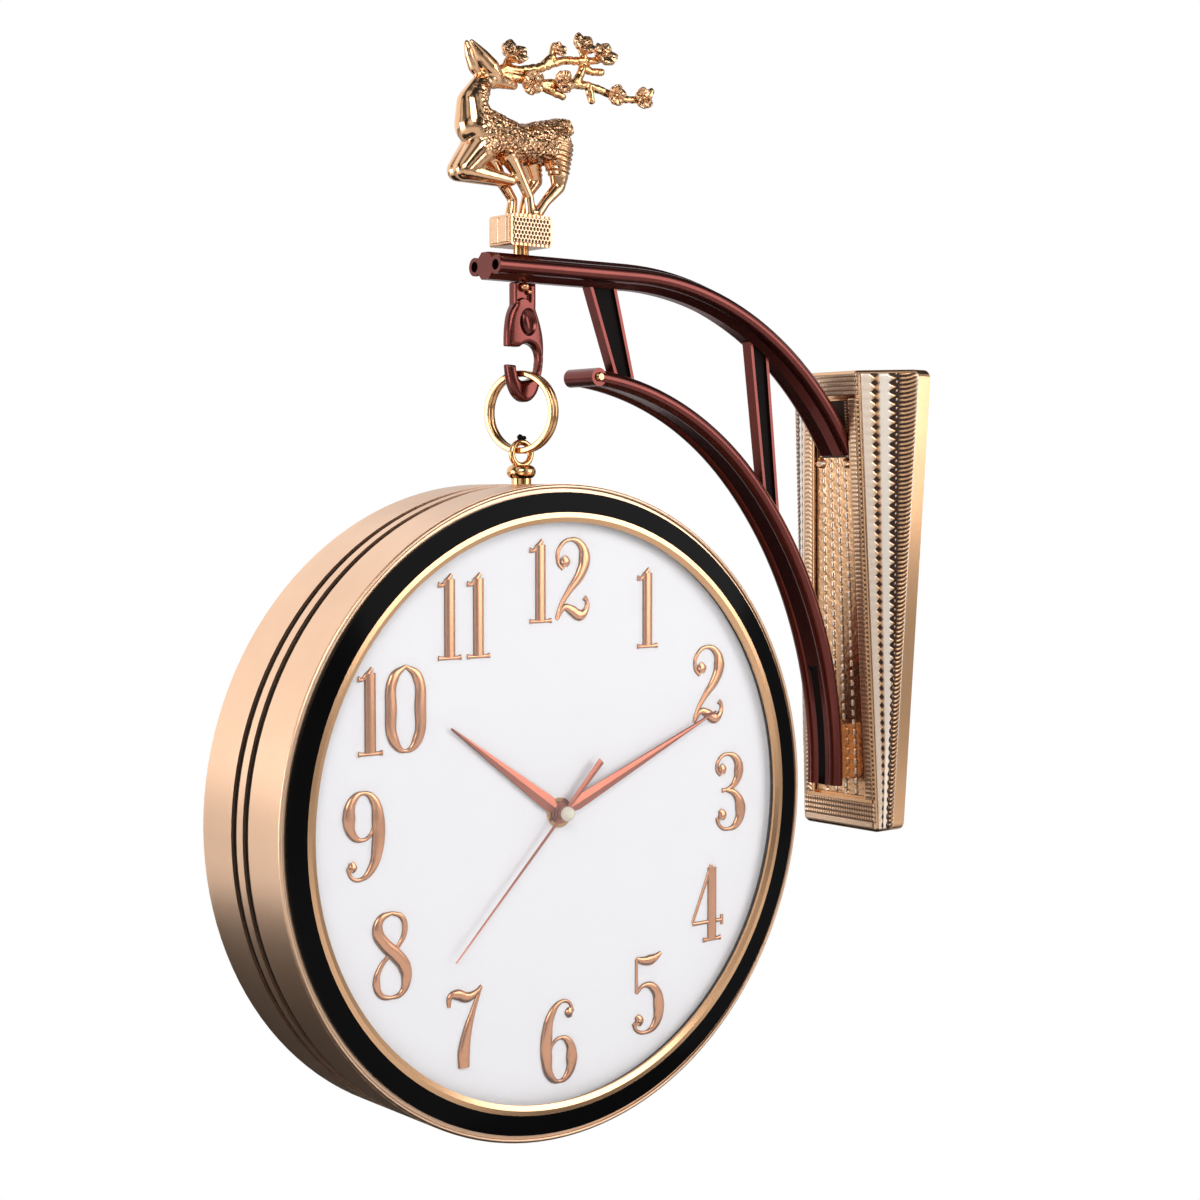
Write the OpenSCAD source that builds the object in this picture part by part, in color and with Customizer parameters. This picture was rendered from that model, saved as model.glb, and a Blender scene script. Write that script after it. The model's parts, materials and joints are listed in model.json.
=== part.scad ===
// Double-sided wall clock: a round two-dial case that hangs by a ring from an arched wall bracket.
// +Z is up, the first dial faces -Y, and X = 0 is the wall. The origin is the middle of the wall
// plate's back, so the bracket reaches out along -X.

/* [Wall plate] */
// Height of the wall plate
plate_h = 245.4; // [220:0.1:300]
// Width of the plate's back at its top
plate_top_w = 90.8; // [80:0.1:110]
// Width of the plate's back at its foot
plate_foot_w = 58.4; // [52:0.1:80]
// Depth of the straight rim that stands on the wall
plate_rim_t = 8.9; // [6:0.1:12]
// Width of the front panel at its top
panel_top_w = 40.4; // [34:0.1:50]
// Width of the front panel at its foot
panel_foot_w = 55; // [46:0.1:56]
// How far the front panel stands out from the wall at its top
panel_top_out = 28.7; // [26:0.1:32]
// How far the front panel stands out from the wall at its foot
panel_foot_out = 19; // [17:0.1:22]
// Depth of the sunk field in the panel
field_t = 2.5; // [1.5:0.1:3.5]
// Diameter of the wall screw holes
wall_hole_d = 4.5; // [4:0.1:5]
// Distance between the two wall screw holes
wall_hole_gap = 18.8; // [18.4:0.1:19]
// Height of the wall screw holes above the middle of the plate
wall_hole_z = 74; // [60:0.1:74]

/* [Bracket arms] */
// Distance from the wall to the upright axis of the clock
reach = 235.5; // [228:0.1:240]
// Height above the middle of the plate where the upper arm meets it
upper_foot_z = 81.6; // [78:0.1:86]
// Angle above the horizontal at which the upper arch starts
foot_turn = 32.6; // [30:0.1:35]
// Outer radius of the upper arch
arch_r = 183; // [180:0.1:186]
// How far the upper arm's tip stands out past the clock's axis
tip_out = 21; // [18:0.1:30]
// Width across the flats of the arm's eight-sided core
core_w = 12.5; // [11:0.1:13]
// Diameter of the side rails of the upper arm
rail_d = 7.7; // [7:0.1:8.4]
// Distance between the centres of the two side rails
rail_gap = 16.3; // [15.6:0.1:18]
// Bore in the ends of the rails
rail_bore_d = 5; // [4:0.1:5.6]
// Height of the lower arm's centre, below the middle of the plate
lower_z = 90.2; // [84:0.1:96]
// Outer radius of the lower arm
lower_r = 225; // [222:0.1:228]
// Outer radius of the lower arm's flatter crest
crest_r = 170; // [166:0.1:176]
// Gap between the lower arm and the panel, where the boss sits
foot_gap = 6.4; // [5:0.1:8]
// Thickness of the lower arm's rails
lower_rail_d = 7.6; // [7:0.1:8.2]
// Width of the lower arm
lower_w = 23; // [21:0.1:25]

/* [Struts] */
// Depth of the struts, front to back
strut_t = 6; // [5:0.1:8]
// Depth of the channel in the faces of the struts
strut_web_t = 1.6; // [1:0.1:2]
// Width of the ribs along the struts' edges
strut_rib_w = 1.8; // [1.4:0.1:2.4]

/* [Hook and ring] */
// Thickness of the hook
hook_t = 7; // [6:0.1:8]
// Height from the hook's seat to the underside of the arm
hook_h = 45.7; // [44:0.1:48]
// Diameter of the ring's wire
wire_d = 3.7; // [3.2:0.1:4]
// Outer diameter of the hanging ring
ring_d = 39.1; // [38:0.1:41]
// Angle by which the ring is turned out of the plane across the bracket
ring_turn = 19; // [14:1:24]

/* [Hanger] */
// Bore of the hanger's eye
eye_bore_d = 8; // [7.6:0.1:8.6]
// Thickness of the eye's wire
eye_wire_d = 3; // [2.6:0.1:3.2]
// Diameter of the hanger's bead
bead_d = 13.8; // [12:0.1:15]
// Diameter of the threaded shank
shank_d = 5; // [4:0.1:6]

/* [Case] */
// Outer diameter of the case
case_d = 305; // [300:0.5:312]
// Depth of the case between the faces of its two black bezels
case_depth = 66.5; // [66:0.1:76]
// Thickness of the case's walls
wall_t = 2.5; // [1.8:0.1:3]
// Width of the raised band round the middle
band_w = 5.1; // [4:0.1:6]
// Width of each black seal beside the band
seal_w = 4.7; // [4:0.1:5.4]
// Depth of the seals below the case's surface
seal_sink = 1.4; // [0.8:0.1:1.8]
// Distance from the case's rim in to the black bezels
bezel_inset = 3.7; // [3.3:0.1:4.5]
// Width of the black bezels
bezel_w = 9.3; // [8:0.1:10]
// How far a bezel stands out of the case's face
bezel_t = 1.6; // [1.2:0.1:2]
// Width of the gilt lips
lip_w = 4.5; // [3.4:0.1:6]

/* [Dials] */
// Distance from a bezel's face back to the dial
dial_sink = 5; // [4.6:0.1:6]
// Thickness of a dial
dial_t = 1.5; // [1:0.1:2]
// Thickness of a lens
lens_t = 1.3; // [1:0.1:1.5]
// How far a lens is domed
lens_rise = 6; // [5.6:0.1:6.4]

/* [Hands] */
// Reach of the hour hand
hour_len = 76; // [66:0.5:80]
// Reach of the minute hand
minute_len = 105; // [96:0.5:110]
// Reach of the second hand
second_len = 87; // [80:0.5:100]
// Length of the second hand's tail
second_tail = 32; // [26:0.5:36]
// Thickness of the hands
hand_t = 0.6; // [0.5:0.05:0.7]
// Direction of the hour hand, clockwise from twelve
hour_turn = 305; // [0:1:359]
// Direction of the minute hand, clockwise from twelve
minute_turn = 67; // [0:1:359]
// Direction of the second hand, clockwise from twelve
second_turn = 225; // [0:1:359]

/* [Movements] */
// Side of the square movement boxes
movement_w = 56; // [54:0.5:58]
// Depth of the movement boxes
movement_t = 16; // [15:0.1:17]
// Diameter of the dry cells
cell_d = 14.2; // [14:0.1:14.5]
// Length of the dry cells
cell_len = 50; // [48:0.1:50.5]

/* [Ornament] */
// Height of the deer and its flowering antlers above their base
figure_h = 92; // [84:0.5:100]
// Length of the ornament's base
base_w = 24; // [22:0.5:28]
// Depth of the ornament's base, front to back
base_d = 17; // [15:0.5:20]
// Height of the ornament's base
base_h = 14.5; // [12:0.5:17]
// Height of the gap between the arm and the ornament's base
post_h = 3.5; // [3:0.1:5]

/* [Hidden] */
$fn = 72;

// Overrun of every cut, the gaps of a loose seat and a running shaft, and a sliding fit's gap
over = 1;
loose = 0.3;
running = 0.05;
fit_gap = 0.1;

// Panel plane: it leans in towards the foot
panel_mid_out = (panel_top_out + panel_foot_out) / 2;
panel_lean = atan((panel_top_out - panel_foot_out) / plate_h);
plate_round = 3;
rim_round = 5;
field_top_share = 0.44;
field_foot_share = 0.43;
field_top_w = 24;
field_foot_w = 37.4;
wall_sink_d = 7;
wall_sink_t = 1.2;
arm_screw_d = 4;
arm_screw_head_d = 8;
arm_screw_head_t = 2.5;
arm_screw_bite = 5;

function panel_x(z) = -(panel_mid_out + z * tan(panel_lean));
function field_x(z) = panel_x(z) + field_t;

// Places along the arms
rail_r = arch_r - core_w / 2;
arch_x = panel_mid_out + rail_r * cos(foot_turn);
arch_z = upper_foot_z - rail_r * sin(foot_turn);
arch_from_turn = foot_turn - 12.6;
arm_under_z = arch_z + arch_r - core_w - fit_gap / 2;
arm_top_z = arch_z + arch_r + fit_gap / 2;
foot_drop = 3.6;
foot_low_z = upper_foot_z - foot_drop;
foot_cut = 24;
lower_out = -field_x(-lower_z) + foot_gap + field_t;
lower_cx = -lower_out - lower_r;
crest_from = 44;
lower_tip_gap = 38.7;
join_turn = 0.4;
crest_cx = lower_cx + (lower_r - crest_r) * cos(crest_from);
crest_cz = -lower_z + (lower_r - crest_r) * sin(crest_from);
crest_to = acos((lower_tip_gap - reach - crest_cx) / (crest_r - lower_rail_d / 2));
lower_foot_len = 8;
lower_eye_grow = 1.2;
boss_h = 29;
boss_w = 16;
boss_rise = 10;
boss_z = -lower_z + boss_rise;
web_t = 5;
rail_bore_len = 9;
collar_d = 8.6;
collar_w = 1.4;

// Hook outline: shoulders, throat and jaw, as distances from the seat and the clock's axis
hook_r = 13;
throat_r = 5.4;
throat_back_r = 4.5;
throat_back_x = 4.2;
mouth_h = 8;
lip_drop = 7.3;
hook_low = 9.1;
hook_neck_w = 7.5;
hook_neck_drop = 4.6;
hook_shoulder_l = 12;
hook_shoulder_r = 9.6;
hook_shoulder_z = 32;
hook_cheek = 14.6;
hook_cheek_z = 15.8;
hook_back = 12.6;
hook_back_z = 17;
lug_w = 15;
lug_h = 11.5;
lug_pocket_w = 9;
lug_pocket_t = 1.8;
ball_d = 4.6;
small_ball_d = 2.6;
small_ball_off = 2.8;
dimple_r = 4.3;
dimple_len = 6.5;
dimple_z = 26.6;
dimple_t = 1.4;

// The chain: the hook's seat carries the ring, the ring carries the eye, the eye carries the case
ring_r = (ring_d - wire_d) / 2;
ring_in_r = ring_r - wire_d / 2;
seat_z = arm_under_z - hook_h;
seat_half = hook_t / 2 / cos(ring_turn);
seat_sag = ring_in_r - sqrt(pow(ring_in_r, 2) - pow(seat_half, 2));
ring_z = seat_z + loose + seat_sag - ring_in_r;
eye_z = ring_z - ring_in_r + loose - eye_bore_d / 2;
eye_r = (eye_bore_d + eye_wire_d) / 2;
hanger_h = 14.3;
collar_h = 3.5;
collar_r = 4.7;
neck_r = 4;
bead_z = 5.8;
bead_half_h = 3.3;
nut_w = 9;
nut_t = 4;
shank_spare = 1.5;
case_z = eye_z - hanger_h - case_d / 2;

// Radii and depths of the case, from the middle plane outwards
case_r = case_d / 2;
half = case_depth / 2;
shell_face = half - bezel_t;
shell_in_r = case_r - wall_t;
shell_from = band_w / 2 + seal_w;
spigot_r = shell_in_r;
spigot_t = 2.2;
spigot_half = shell_from + 5;
face_t = 2;
rim_bead_d = 2;
bead_steps = 8;
bezel_r = case_r - bezel_inset;
bezel_in_r = bezel_r - bezel_w;
bezel_rise = 0.85;
lip_in_r = bezel_in_r - lip_w;
frame_wall_t = 3;
frame_floor_t = 2.5;
frame_tube_t = 2;
frame_tube_r = bezel_in_r;
dial_r = frame_tube_r - frame_tube_t - fit_gap;
dial_face = half - dial_sink;
dial_back = dial_face - dial_t;
frame_back = dial_back - frame_floor_t;
dial_seat_w = 4;
lens_back = shell_face - lens_t;
spacer_t = 0.9;
lens_low_r = lens_cap_r(lens_rise);
screw_d = 3;
screw_head_d = 4.4;
screw_head_t = 1.2;
screw_len = 5;
screw_turns = [40.5, 140.5, 220, 320];

function lens_cap_r(rise) = (pow(dial_r, 2) + pow(rise, 2)) / (2 * rise);

// Hands and arbors: each tube runs inside the next, with the hands stacked from the dial outwards
arbor_bore_d = 8;
stem_d = 7.8;
hour_tube_d = 5.2;
minute_tube_d = 3.4;
second_pin_d = 1.4;
nut_round_d = 14;
nut_round_t = 1;
stack_gap = 0.5;
hour_h = dial_face + nut_round_t + stack_gap;
minute_h = hour_h + hand_t + stack_gap;
second_h = minute_h + hand_t + stack_gap;
cap_d = 6;
cap_t = 2.6;
hub_d = 11;
minute_hub_d = 9;
hour_w = 6.2;
minute_w = 5.2;
second_w = 1.7;
hand_belly_share = 0.3;
second_hub_d = 7;
tail_w = 4;
cell_bay_gap = 0.4;
cell_off = 15;
cell_nub_d = 5.4;
cell_nub_len = 1.2;
knob_d = 13;
knob_t = 3;
knob_pin_d = 4;
knob_pin_len = 5;

// Ornament: the figure's places are shares of its height, measured from the middle of the base
knurl_w = 1.3;
knurl_count = 8;
base_round = 2;
post_d = 7.5;
post_flutes = 8;
post_flute_d = 1.6;
torso_shares = [[-0.26, 0.42, 0.125], [-0.02, 0.375, 0.1], [0.21, 0.41, 0.115]];
neck_shares = [[-0.29, 0.46, 0.11], [-0.29, 0.56, 0.083], [-0.235, 0.66, 0.058]];
head_shares = [[-0.2, 0.69, 0.05], [-0.03, 0.698, 0.027]];
ear_shares = [[-0.21, 0.71, 0.03], [-0.285, 0.835, 0.012]];
tail_shares = [[0.29, 0.49, 0.03], [0.325, 0.53, 0.018]];
bent_leg_shares = [[-0.29, 0.34, 0.07], [-0.4, 0.187, 0.03], [-0.07, 0.172, 0.022]];
near_fore_shares = [[-0.1, 0.3, 0.045], [0, 0.175, 0.022], [0.05, 0.08, 0.018], [0.04, 0.015, 0.022]];
far_fore_shares = [[-0.17, 0.3, 0.045], [-0.06, 0.178, 0.024], [-0.01, 0.1, 0.02], [-0.023, 0.015, 0.024]];
near_hind_shares = [[0.24, 0.36, 0.085], [0.245, 0.215, 0.03], [0.125, 0.09, 0.022], [0.08, 0.015, 0.024]];
far_hind_shares = [[0.13, 0.33, 0.06], [0.148, 0.2, 0.03], [0.08, 0.12, 0.02], [0.06, 0.015, 0.022]];
leg_spread_share = 0.05;
antler_shares = [
    [[-0.18, 0.715], [-0.1, 0.751], [0.003, 0.755], [0.14, 0.79], [0.273, 0.844], [0.418, 0.858], [0.503, 0.873],
        [0.534, 0.906]],
    [[-0.18, 0.715], [-0.02, 0.715], [0.108, 0.7], [0.19, 0.712], [0.345, 0.726], [0.442, 0.732], [0.54, 0.715],
        [0.664, 0.687], [0.802, 0.7], [0.878, 0.755]],
    [[0.108, 0.7], [0.273, 0.651]],
    [[0.345, 0.726], [0.382, 0.773], [0.406, 0.823], [0.534, 0.815]],
    [[0.442, 0.732], [0.467, 0.654]],
    [[0.14, 0.79], [0.22, 0.913]],
    [[-0.1, 0.751], [-0.06, 0.83]],
    [[0.418, 0.858], [0.394, 0.935]]];
blossom_shares = [[-0.06, 0.83], [0.055, 0.7], [0.262, 0.725], [0.23, 0.89], [0.394, 0.935], [0.534, 0.9],
    [0.614, 0.7], [0.802, 0.705]];
twig_share = 0.018;
blossom_r_share = 0.068;
blossom_t = 2.4;
petals = 5;

// Colours
pale_gold = [0.85, 0.69, 0.5];
rose_gold = [0.89, 0.72, 0.6];
mahogany = [0.37, 0.16, 0.15];
jet = [0.05, 0.05, 0.05];
copper = [0.75, 0.47, 0.39];

// Turns a profile of radius and height about the case's axis, heights running towards the front
module about_case() { translate([-reach, 0, case_z]) rotate([90, 0, 0]) children(); }
module ring_section(points) { rotate_extrude() polygon(points); }
module block(low, high) { translate(low) cube(high - low); }

// Swings a section round an arm's centre between two angles above the horizontal
module arm_sweep(cx, cz, r, from, to) {
    translate([cx, 0, cz]) rotate([90, 0, 0]) rotate([0, 0, from])
        rotate_extrude(angle = to - from) translate([r, 0]) children();
}
// Everything on the wall side of the sunk field in the panel
module behind_field(shift = 0) {
    rotate([0, -panel_lean, 0])
        translate([-panel_mid_out * cos(panel_lean) + field_t + shift, -plate_h, -plate_h])
            cube([plate_h, plate_h * 2, plate_h * 2]);
}

module rim_slab() {
    for (end = [-1, 1], side = [-1, 1])
        let (w = end > 0 ? plate_top_w : plate_foot_w)
            translate([-plate_rim_t, side * (w / 2 - rim_round), end * (plate_h / 2 - rim_round)])
                rotate([0, 90, 0]) cylinder(r = rim_round, h = plate_rim_t, $fn = 24);
}
module panel_knobs() {
    for (end = [-1, 1], side = [-1, 1])
        let (w = end > 0 ? panel_top_w : panel_foot_w, z = end * (plate_h / 2 - plate_round))
            translate([panel_x(z) + plate_round, side * (w / 2 - plate_round), z])
                sphere(r = plate_round, $fn = 16);
}
// The sunk field, a tapered pocket that follows the panel's lean
module field_pocket() {
    top = plate_h * field_top_share;
    foot = -plate_h * field_foot_share;
    difference() {
        rotate([90, 0, 90]) translate([0, 0, -panel_top_out - over])
            linear_extrude(panel_top_out)
                polygon([[-field_top_w / 2, top], [field_top_w / 2, top],
                    [field_foot_w / 2, foot], [-field_foot_w / 2, foot]]);
        behind_field();
    }
}
module arm_screw(z, tip_x) {
    translate([0, 0, z]) rotate([0, -90, 0]) {
        cylinder(d1 = arm_screw_head_d, d2 = arm_screw_d, h = arm_screw_head_t);
        cylinder(d = arm_screw_d, h = -tip_x);
    }
}
module wall_plate() color(pale_gold) {
    difference() {
        hull() {
            rim_slab();
            panel_knobs();
        }
        field_pocket();
        for (side = [-1, 1]) translate([0, side * wall_hole_gap / 2, wall_hole_z]) rotate([0, -90, 0]) {
            translate([0, 0, -over]) cylinder(d = wall_hole_d, h = panel_top_out + over);
            translate([0, 0, -field_x(wall_hole_z) - wall_sink_t])
                cylinder(d1 = wall_hole_d, d2 = wall_sink_d, h = wall_sink_t + over);
        }
        arm_screw(upper_foot_z, -panel_top_out);
        arm_screw(boss_z, -panel_top_out);
    }
}
module arm_screws() color("silver") {
    arm_screw(upper_foot_z, field_x(upper_foot_z) - arm_screw_bite);
    arm_screw(boss_z, field_x(boss_z) - field_t - foot_gap - arm_screw_bite);
}
module foot_boss() color(pale_gold) {
    difference() {
        block([-lower_out - lower_rail_d, -boss_w / 2, boss_z - boss_h / 2],
            [0, boss_w / 2, boss_z + boss_h / 2]);
        behind_field();
        arm_screw(boss_z, -lower_out - lower_rail_d - over);
        lower_envelope();
    }
}

// Section of the upper arm: an eight-sided core between two round rails
module upper_section(grow = 0) {
    rotate(22.5) circle(d = (core_w + grow) / cos(22.5), $fn = 8);
    for (side = [-1, 1]) translate([0, side * rail_gap / 2]) circle(d = rail_d + grow);
}
module upper_arm() color(mahogany) {
    straight = reach + tip_out - arch_x + over;
    difference() {
        union() {
            arm_sweep(-arch_x, arch_z, rail_r, arch_from_turn, 90) upper_section();
            translate([over - arch_x, 0, arch_z + rail_r]) rotate([0, -90, 0]) {
                linear_extrude(straight) upper_section(fit_gap);
                for (side = [-1, 1]) translate([0, side * rail_gap / 2, straight - collar_w])
                    cylinder(d = collar_d, h = collar_w);
            }
        }
        behind_field();
        block([-panel_top_out - foot_cut, -lower_w, arch_z], [0, lower_w, foot_low_z]);
        for (side = [-1, 1])
            translate([-reach - tip_out - over, side * rail_gap / 2, arch_z + rail_r])
                rotate([0, 90, 0]) cylinder(d = rail_bore_d, h = rail_bore_len + over);
        arm_screw(upper_foot_z, field_x(upper_foot_z) - arm_screw_bite);
        post_thread();
    }
}

// Section of the lower arm: two rails with a thinner web between them
module lower_section(grow = 0) {
    for (side = [-1, 1]) translate([0, side * (lower_w - lower_rail_d) / 2]) circle(d = lower_rail_d + grow);
    square([web_t + grow, lower_w - lower_rail_d], center = true);
}
module lower_envelope(sink = 0) {
    intersection() {
        translate([lower_cx, lower_w, -lower_z]) rotate([90, 0, 0])
            cylinder(r = lower_r - sink, h = lower_w * 2, $fn = 180);
        translate([lower_cx, 0, -lower_z]) rotate([0, -crest_from, 0])
            block([-lower_r, -lower_w, -lower_r * 2], [lower_r * 2, lower_w, 0]);
    }
    translate([crest_cx, lower_w, crest_cz]) rotate([90, 0, 0])
        cylinder(r = crest_r - sink, h = lower_w * 2, $fn = 180);
}
module lower_arm() color(mahogany) {
    r = lower_r - lower_rail_d / 2;
    crest = crest_r - lower_rail_d / 2;
    foot_angle = asin(lower_foot_len / lower_r);
    difference() {
        union() {
            arm_sweep(lower_cx, -lower_z, r, -foot_angle, crest_from) lower_section();
            arm_sweep(crest_cx, crest_cz, crest, crest_from - join_turn, crest_to) lower_section(fit_gap);
            arm_end() cylinder(d = lower_rail_d + lower_eye_grow, h = lower_w - lower_eye_grow, center = true);
        }
        arm_screw(boss_z, field_x(boss_z) - field_t - foot_gap - arm_screw_bite);
        arm_end() cylinder(d = screw_d, h = lower_w + 2 * over, center = true);
    }
}
// The pivot-like eye at the lower arm's tip, lying across the arm
module arm_end() {
    crest = crest_r - lower_rail_d / 2;
    translate([crest_cx + crest * cos(crest_to), 0, crest_cz + crest * sin(crest_to)]) rotate([90, 0, 0])
        children();
}
module tip_rivets() color("gold") {
    arm_end() {
        cylinder(d = screw_d, h = lower_w, center = true);
        for (side = [0, 180]) rotate([side, 0, 0]) translate([0, 0, lower_w / 2])
            cylinder(d1 = screw_head_d, d2 = screw_d, h = screw_head_t);
    }
}

// A strut: a tapered channel with ribs along its edges, cut to the arms that it joins.
// Its corners are given as distances from the clock's axis, and heights above the plate's middle.
web_sink = (lower_rail_d - web_t - fit_gap) / 2;
inner_strut_top = [37.5, 54.7];
inner_strut_foot = [67.6, 75.8];
outer_strut_top = [142, 155];
outer_strut_foot = [160.5, 169.5];
strut_high = 5.6;
outer_strut_low = 22;
inner_strut_low = 82;
module strut_outline(top, foot, low, inset) {
    high = arm_under_z + strut_high;
    polygon([[top[0] + inset - reach, high], [top[1] - inset - reach, high],
        [foot[1] - inset - reach, low], [foot[0] + inset - reach, low]]);
}
module strut(top, foot, low) {
    difference() {
        rotate([90, 0, 0]) {
            linear_extrude(strut_t - 2 * strut_web_t, center = true) strut_outline(top, foot, low, 0);
            for (side = [-1, 1]) translate([0, 0, side * (strut_t - strut_web_t) / 2])
                linear_extrude(strut_web_t, center = true) difference() {
                    strut_outline(top, foot, low, 0);
                    strut_outline(top, foot, low, strut_rib_w);
                }
        }
        lower_envelope(web_sink);
        upper_envelope();
    }
}
// The space that the upper arm's core takes up
module upper_envelope() {
    difference() {
        block([-reach - tip_out, -strut_t, arch_z], [0, strut_t, arm_top_z]);
        translate([-arch_x, 0, arch_z]) rotate([90, 0, 0])
            cylinder(r = arch_r - core_w, h = strut_t * 3, center = true, $fn = 180);
        block([-reach - tip_out - over, -strut_t - over, arch_z - over],
            [-arch_x, strut_t + over, arm_under_z]);
    }
}
module inner_strut() color(mahogany) strut(inner_strut_top, inner_strut_foot, inner_strut_low);
module outer_strut() color(mahogany) strut(outer_strut_top, outer_strut_foot, outer_strut_low);

// The hook, drawn flat with its seat at the origin and then thickened
module throat() {
    hull() {
        translate([0, throat_r]) circle(r = throat_r);
        translate([throat_back_x, lip_drop + mouth_h - throat_back_r]) circle(r = throat_back_r);
    }
    translate([-hook_r * 2, lip_drop]) square([hook_r * 2, mouth_h]);
}
module hook_outline() {
    difference() {
        union() {
            circle_low = hook_r - hook_low;
            translate([0, circle_low]) circle(r = hook_r);
            polygon([[-hook_neck_w, hook_h - lug_h + over], [hook_neck_w, hook_h - lug_h + over],
                [hook_shoulder_r, hook_shoulder_z], [hook_back, hook_back_z], [hook_r, circle_low],
                [-hook_r, circle_low], [-hook_r, lip_drop], [-hook_cheek, hook_cheek_z],
                [-hook_shoulder_l, hook_shoulder_z - hook_neck_drop], [-hook_neck_w - over, hook_shoulder_z]]);
        }
        throat();
    }
}
module hook() color(mahogany) {
    translate([-reach, 0, seat_z]) difference() {
        union() {
            rotate([90, 0, 0]) linear_extrude(hook_t, center = true) hook_outline();
            block([-lug_w / 2, -hook_t / 2, hook_h - lug_h], [lug_w / 2, hook_t / 2, hook_h]);
        }
        for (side = [-1, 1]) {
            translate([-lug_pocket_w / 2, side * hook_t / 2 - lug_pocket_t, hook_h - lug_h])
                cube([lug_pocket_w, lug_pocket_t * 2, lug_h + over]);
            translate([0, side * hook_t / 2, dimple_z]) rotate([90, 0, 0]) {
                linear_extrude(dimple_t * 2, center = true) dimple_outline();
            }
        }
    }
}
module dimple_outline() {
    for (end = [-1, 1]) translate([over, end * dimple_len / 2]) circle(r = dimple_r);
    translate([over, 0]) square([dimple_r * 2, dimple_len], center = true);
}
module hook_balls() color(copper) {
    for (side = [-1, 1]) {
        depth = side * (hook_t / 2 - lug_pocket_t + ball_d / 4);
        translate([-reach, depth, seat_z + hook_h - ball_d / 2]) cut_ball(ball_d, side);
        translate([-reach + small_ball_off, depth, seat_z + hook_h - ball_d]) cut_ball(small_ball_d, side);
    }
}
// A ball with its back cut flat against the pocket
module cut_ball(d, side) {
    difference() {
        sphere(d = d);
        translate([-d, side > 0 ? -d * 2 - ball_d / 4 : ball_d / 4, -d]) cube([d * 2, d * 2, d * 2]);
    }
}

module hanging_ring() color("gold") {
    translate([-reach, 0, ring_z]) rotate([0, 0, ring_turn]) rotate([0, 90, 0])
        rotate_extrude() translate([ring_r, 0]) circle(d = wire_d);
}
module hanger_stud() color("gold") {
    foot = -hanger_h;
    shank_end = foot - wall_t - spigot_t - nut_t - shank_spare;
    translate([-reach, 0, eye_z]) {
        rotate([90, 0, 0]) rotate_extrude() translate([eye_r, 0]) circle(d = eye_wire_d);
        difference() {
            union() {
                translate([0, 0, foot]) cylinder(r = collar_r, h = collar_h);
                translate([0, 0, foot + collar_h / 2]) cylinder(r = neck_r, h = -foot - eye_r - collar_h / 2);
                translate([0, 0, foot + bead_z]) rotate_extrude()
                    translate([bead_d / 2 - bead_half_h, 0]) circle(r = bead_half_h);
            }
            rotate([90, 0, 0]) cylinder(d = eye_bore_d, h = bead_d * 2, center = true);
        }
        translate([0, 0, shank_end]) cylinder(d = shank_d, h = foot - shank_end + over / 2);
    }
}
module hanger_nut() color("silver") {
    translate([-reach, 0, eye_z - hanger_h - wall_t - spigot_t - nut_t]) difference() {
        cylinder(d = nut_w / cos(30), h = nut_t, $fn = 6);
        translate([0, 0, -over]) cylinder(d = shank_d, h = nut_t + 2 * over);
    }
}

// Case pieces, each a profile turned about the case's axis
module centre_band() color(rose_gold) {
    difference() {
        about_case() ring_section([
            [case_r, -band_w / 2], [case_r, band_w / 2], [spigot_r, band_w / 2], [spigot_r, spigot_half],
            [spigot_r - spigot_t, spigot_half], [spigot_r - spigot_t, -spigot_half],
            [spigot_r, -spigot_half], [spigot_r, -band_w / 2]]);
        translate([-reach, 0, case_z]) cylinder(d = shank_d, h = case_r + over);
        translate([-reach, 0, case_z + spigot_r - spigot_t - nut_t]) cylinder(d = nut_w * 1.4, h = nut_t + loose);
    }
}
module half_shell() color(rose_gold) {
    difference() {
        about_case() ring_section([
            [case_r, shell_from], [case_r, shell_face], [bezel_in_r, shell_face],
            [bezel_in_r, shell_face - face_t], [shell_in_r, shell_face - face_t], [shell_in_r, shell_from]]);
        screws(over);
    }
}
module half_seal() color(jet) {
    about_case() ring_section([[spigot_r, band_w / 2], [case_r - seal_sink, band_w / 2],
        [case_r - seal_sink, shell_from], [spigot_r, shell_from]]);
}
module half_rim_bead() color(rose_gold) {
    r = rim_bead_d / 2;
    about_case() ring_section([for (i = [0:bead_steps]) let (a = 180 * i / bead_steps)
        [case_r - r - fit_gap + r * cos(a), shell_face + r * sin(a)]]);
}
module half_bezel() color(jet) {
    about_case() ring_section([[bezel_in_r, shell_face], [bezel_r, shell_face], [bezel_r, half],
        [bezel_in_r, half + bezel_rise]]);
}
module half_lip() color(pale_gold) {
    top = half + bezel_rise;
    about_case() ring_section([[bezel_in_r, shell_face], [bezel_in_r, top],
        [(bezel_in_r + lip_in_r) / 2, top + fit_gap * 2], [lip_in_r, top - bezel_t / 2],
        [lip_in_r, shell_face + loose], [frame_tube_r - frame_tube_t, shell_face + loose],
        [frame_tube_r - frame_tube_t, shell_face]]);
}
module half_dial_frame() color(jet) {
    tube_in = frame_tube_r - frame_tube_t;
    out = shell_in_r - fit_gap;
    difference() {
        about_case() ring_section([[out, frame_back], [out, shell_face - face_t],
            [out - frame_wall_t, shell_face - face_t], [out - frame_wall_t, dial_back],
            [frame_tube_r, dial_back], [frame_tube_r, shell_face], [tube_in, shell_face],
            [tube_in, dial_back], [tube_in - dial_seat_w, dial_back], [tube_in - dial_seat_w, frame_back]]);
        screws(0);
    }
}
module half_spacer() color(jet) {
    about_case() ring_section([[dial_r, dial_face], [dial_r, lens_back], [dial_r - spacer_t, lens_back],
        [dial_r - spacer_t, dial_face]]);
}
function rise_at(r) = sqrt(pow(lens_low_r, 2) - pow(r, 2)) - lens_low_r + lens_rise;
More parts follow.
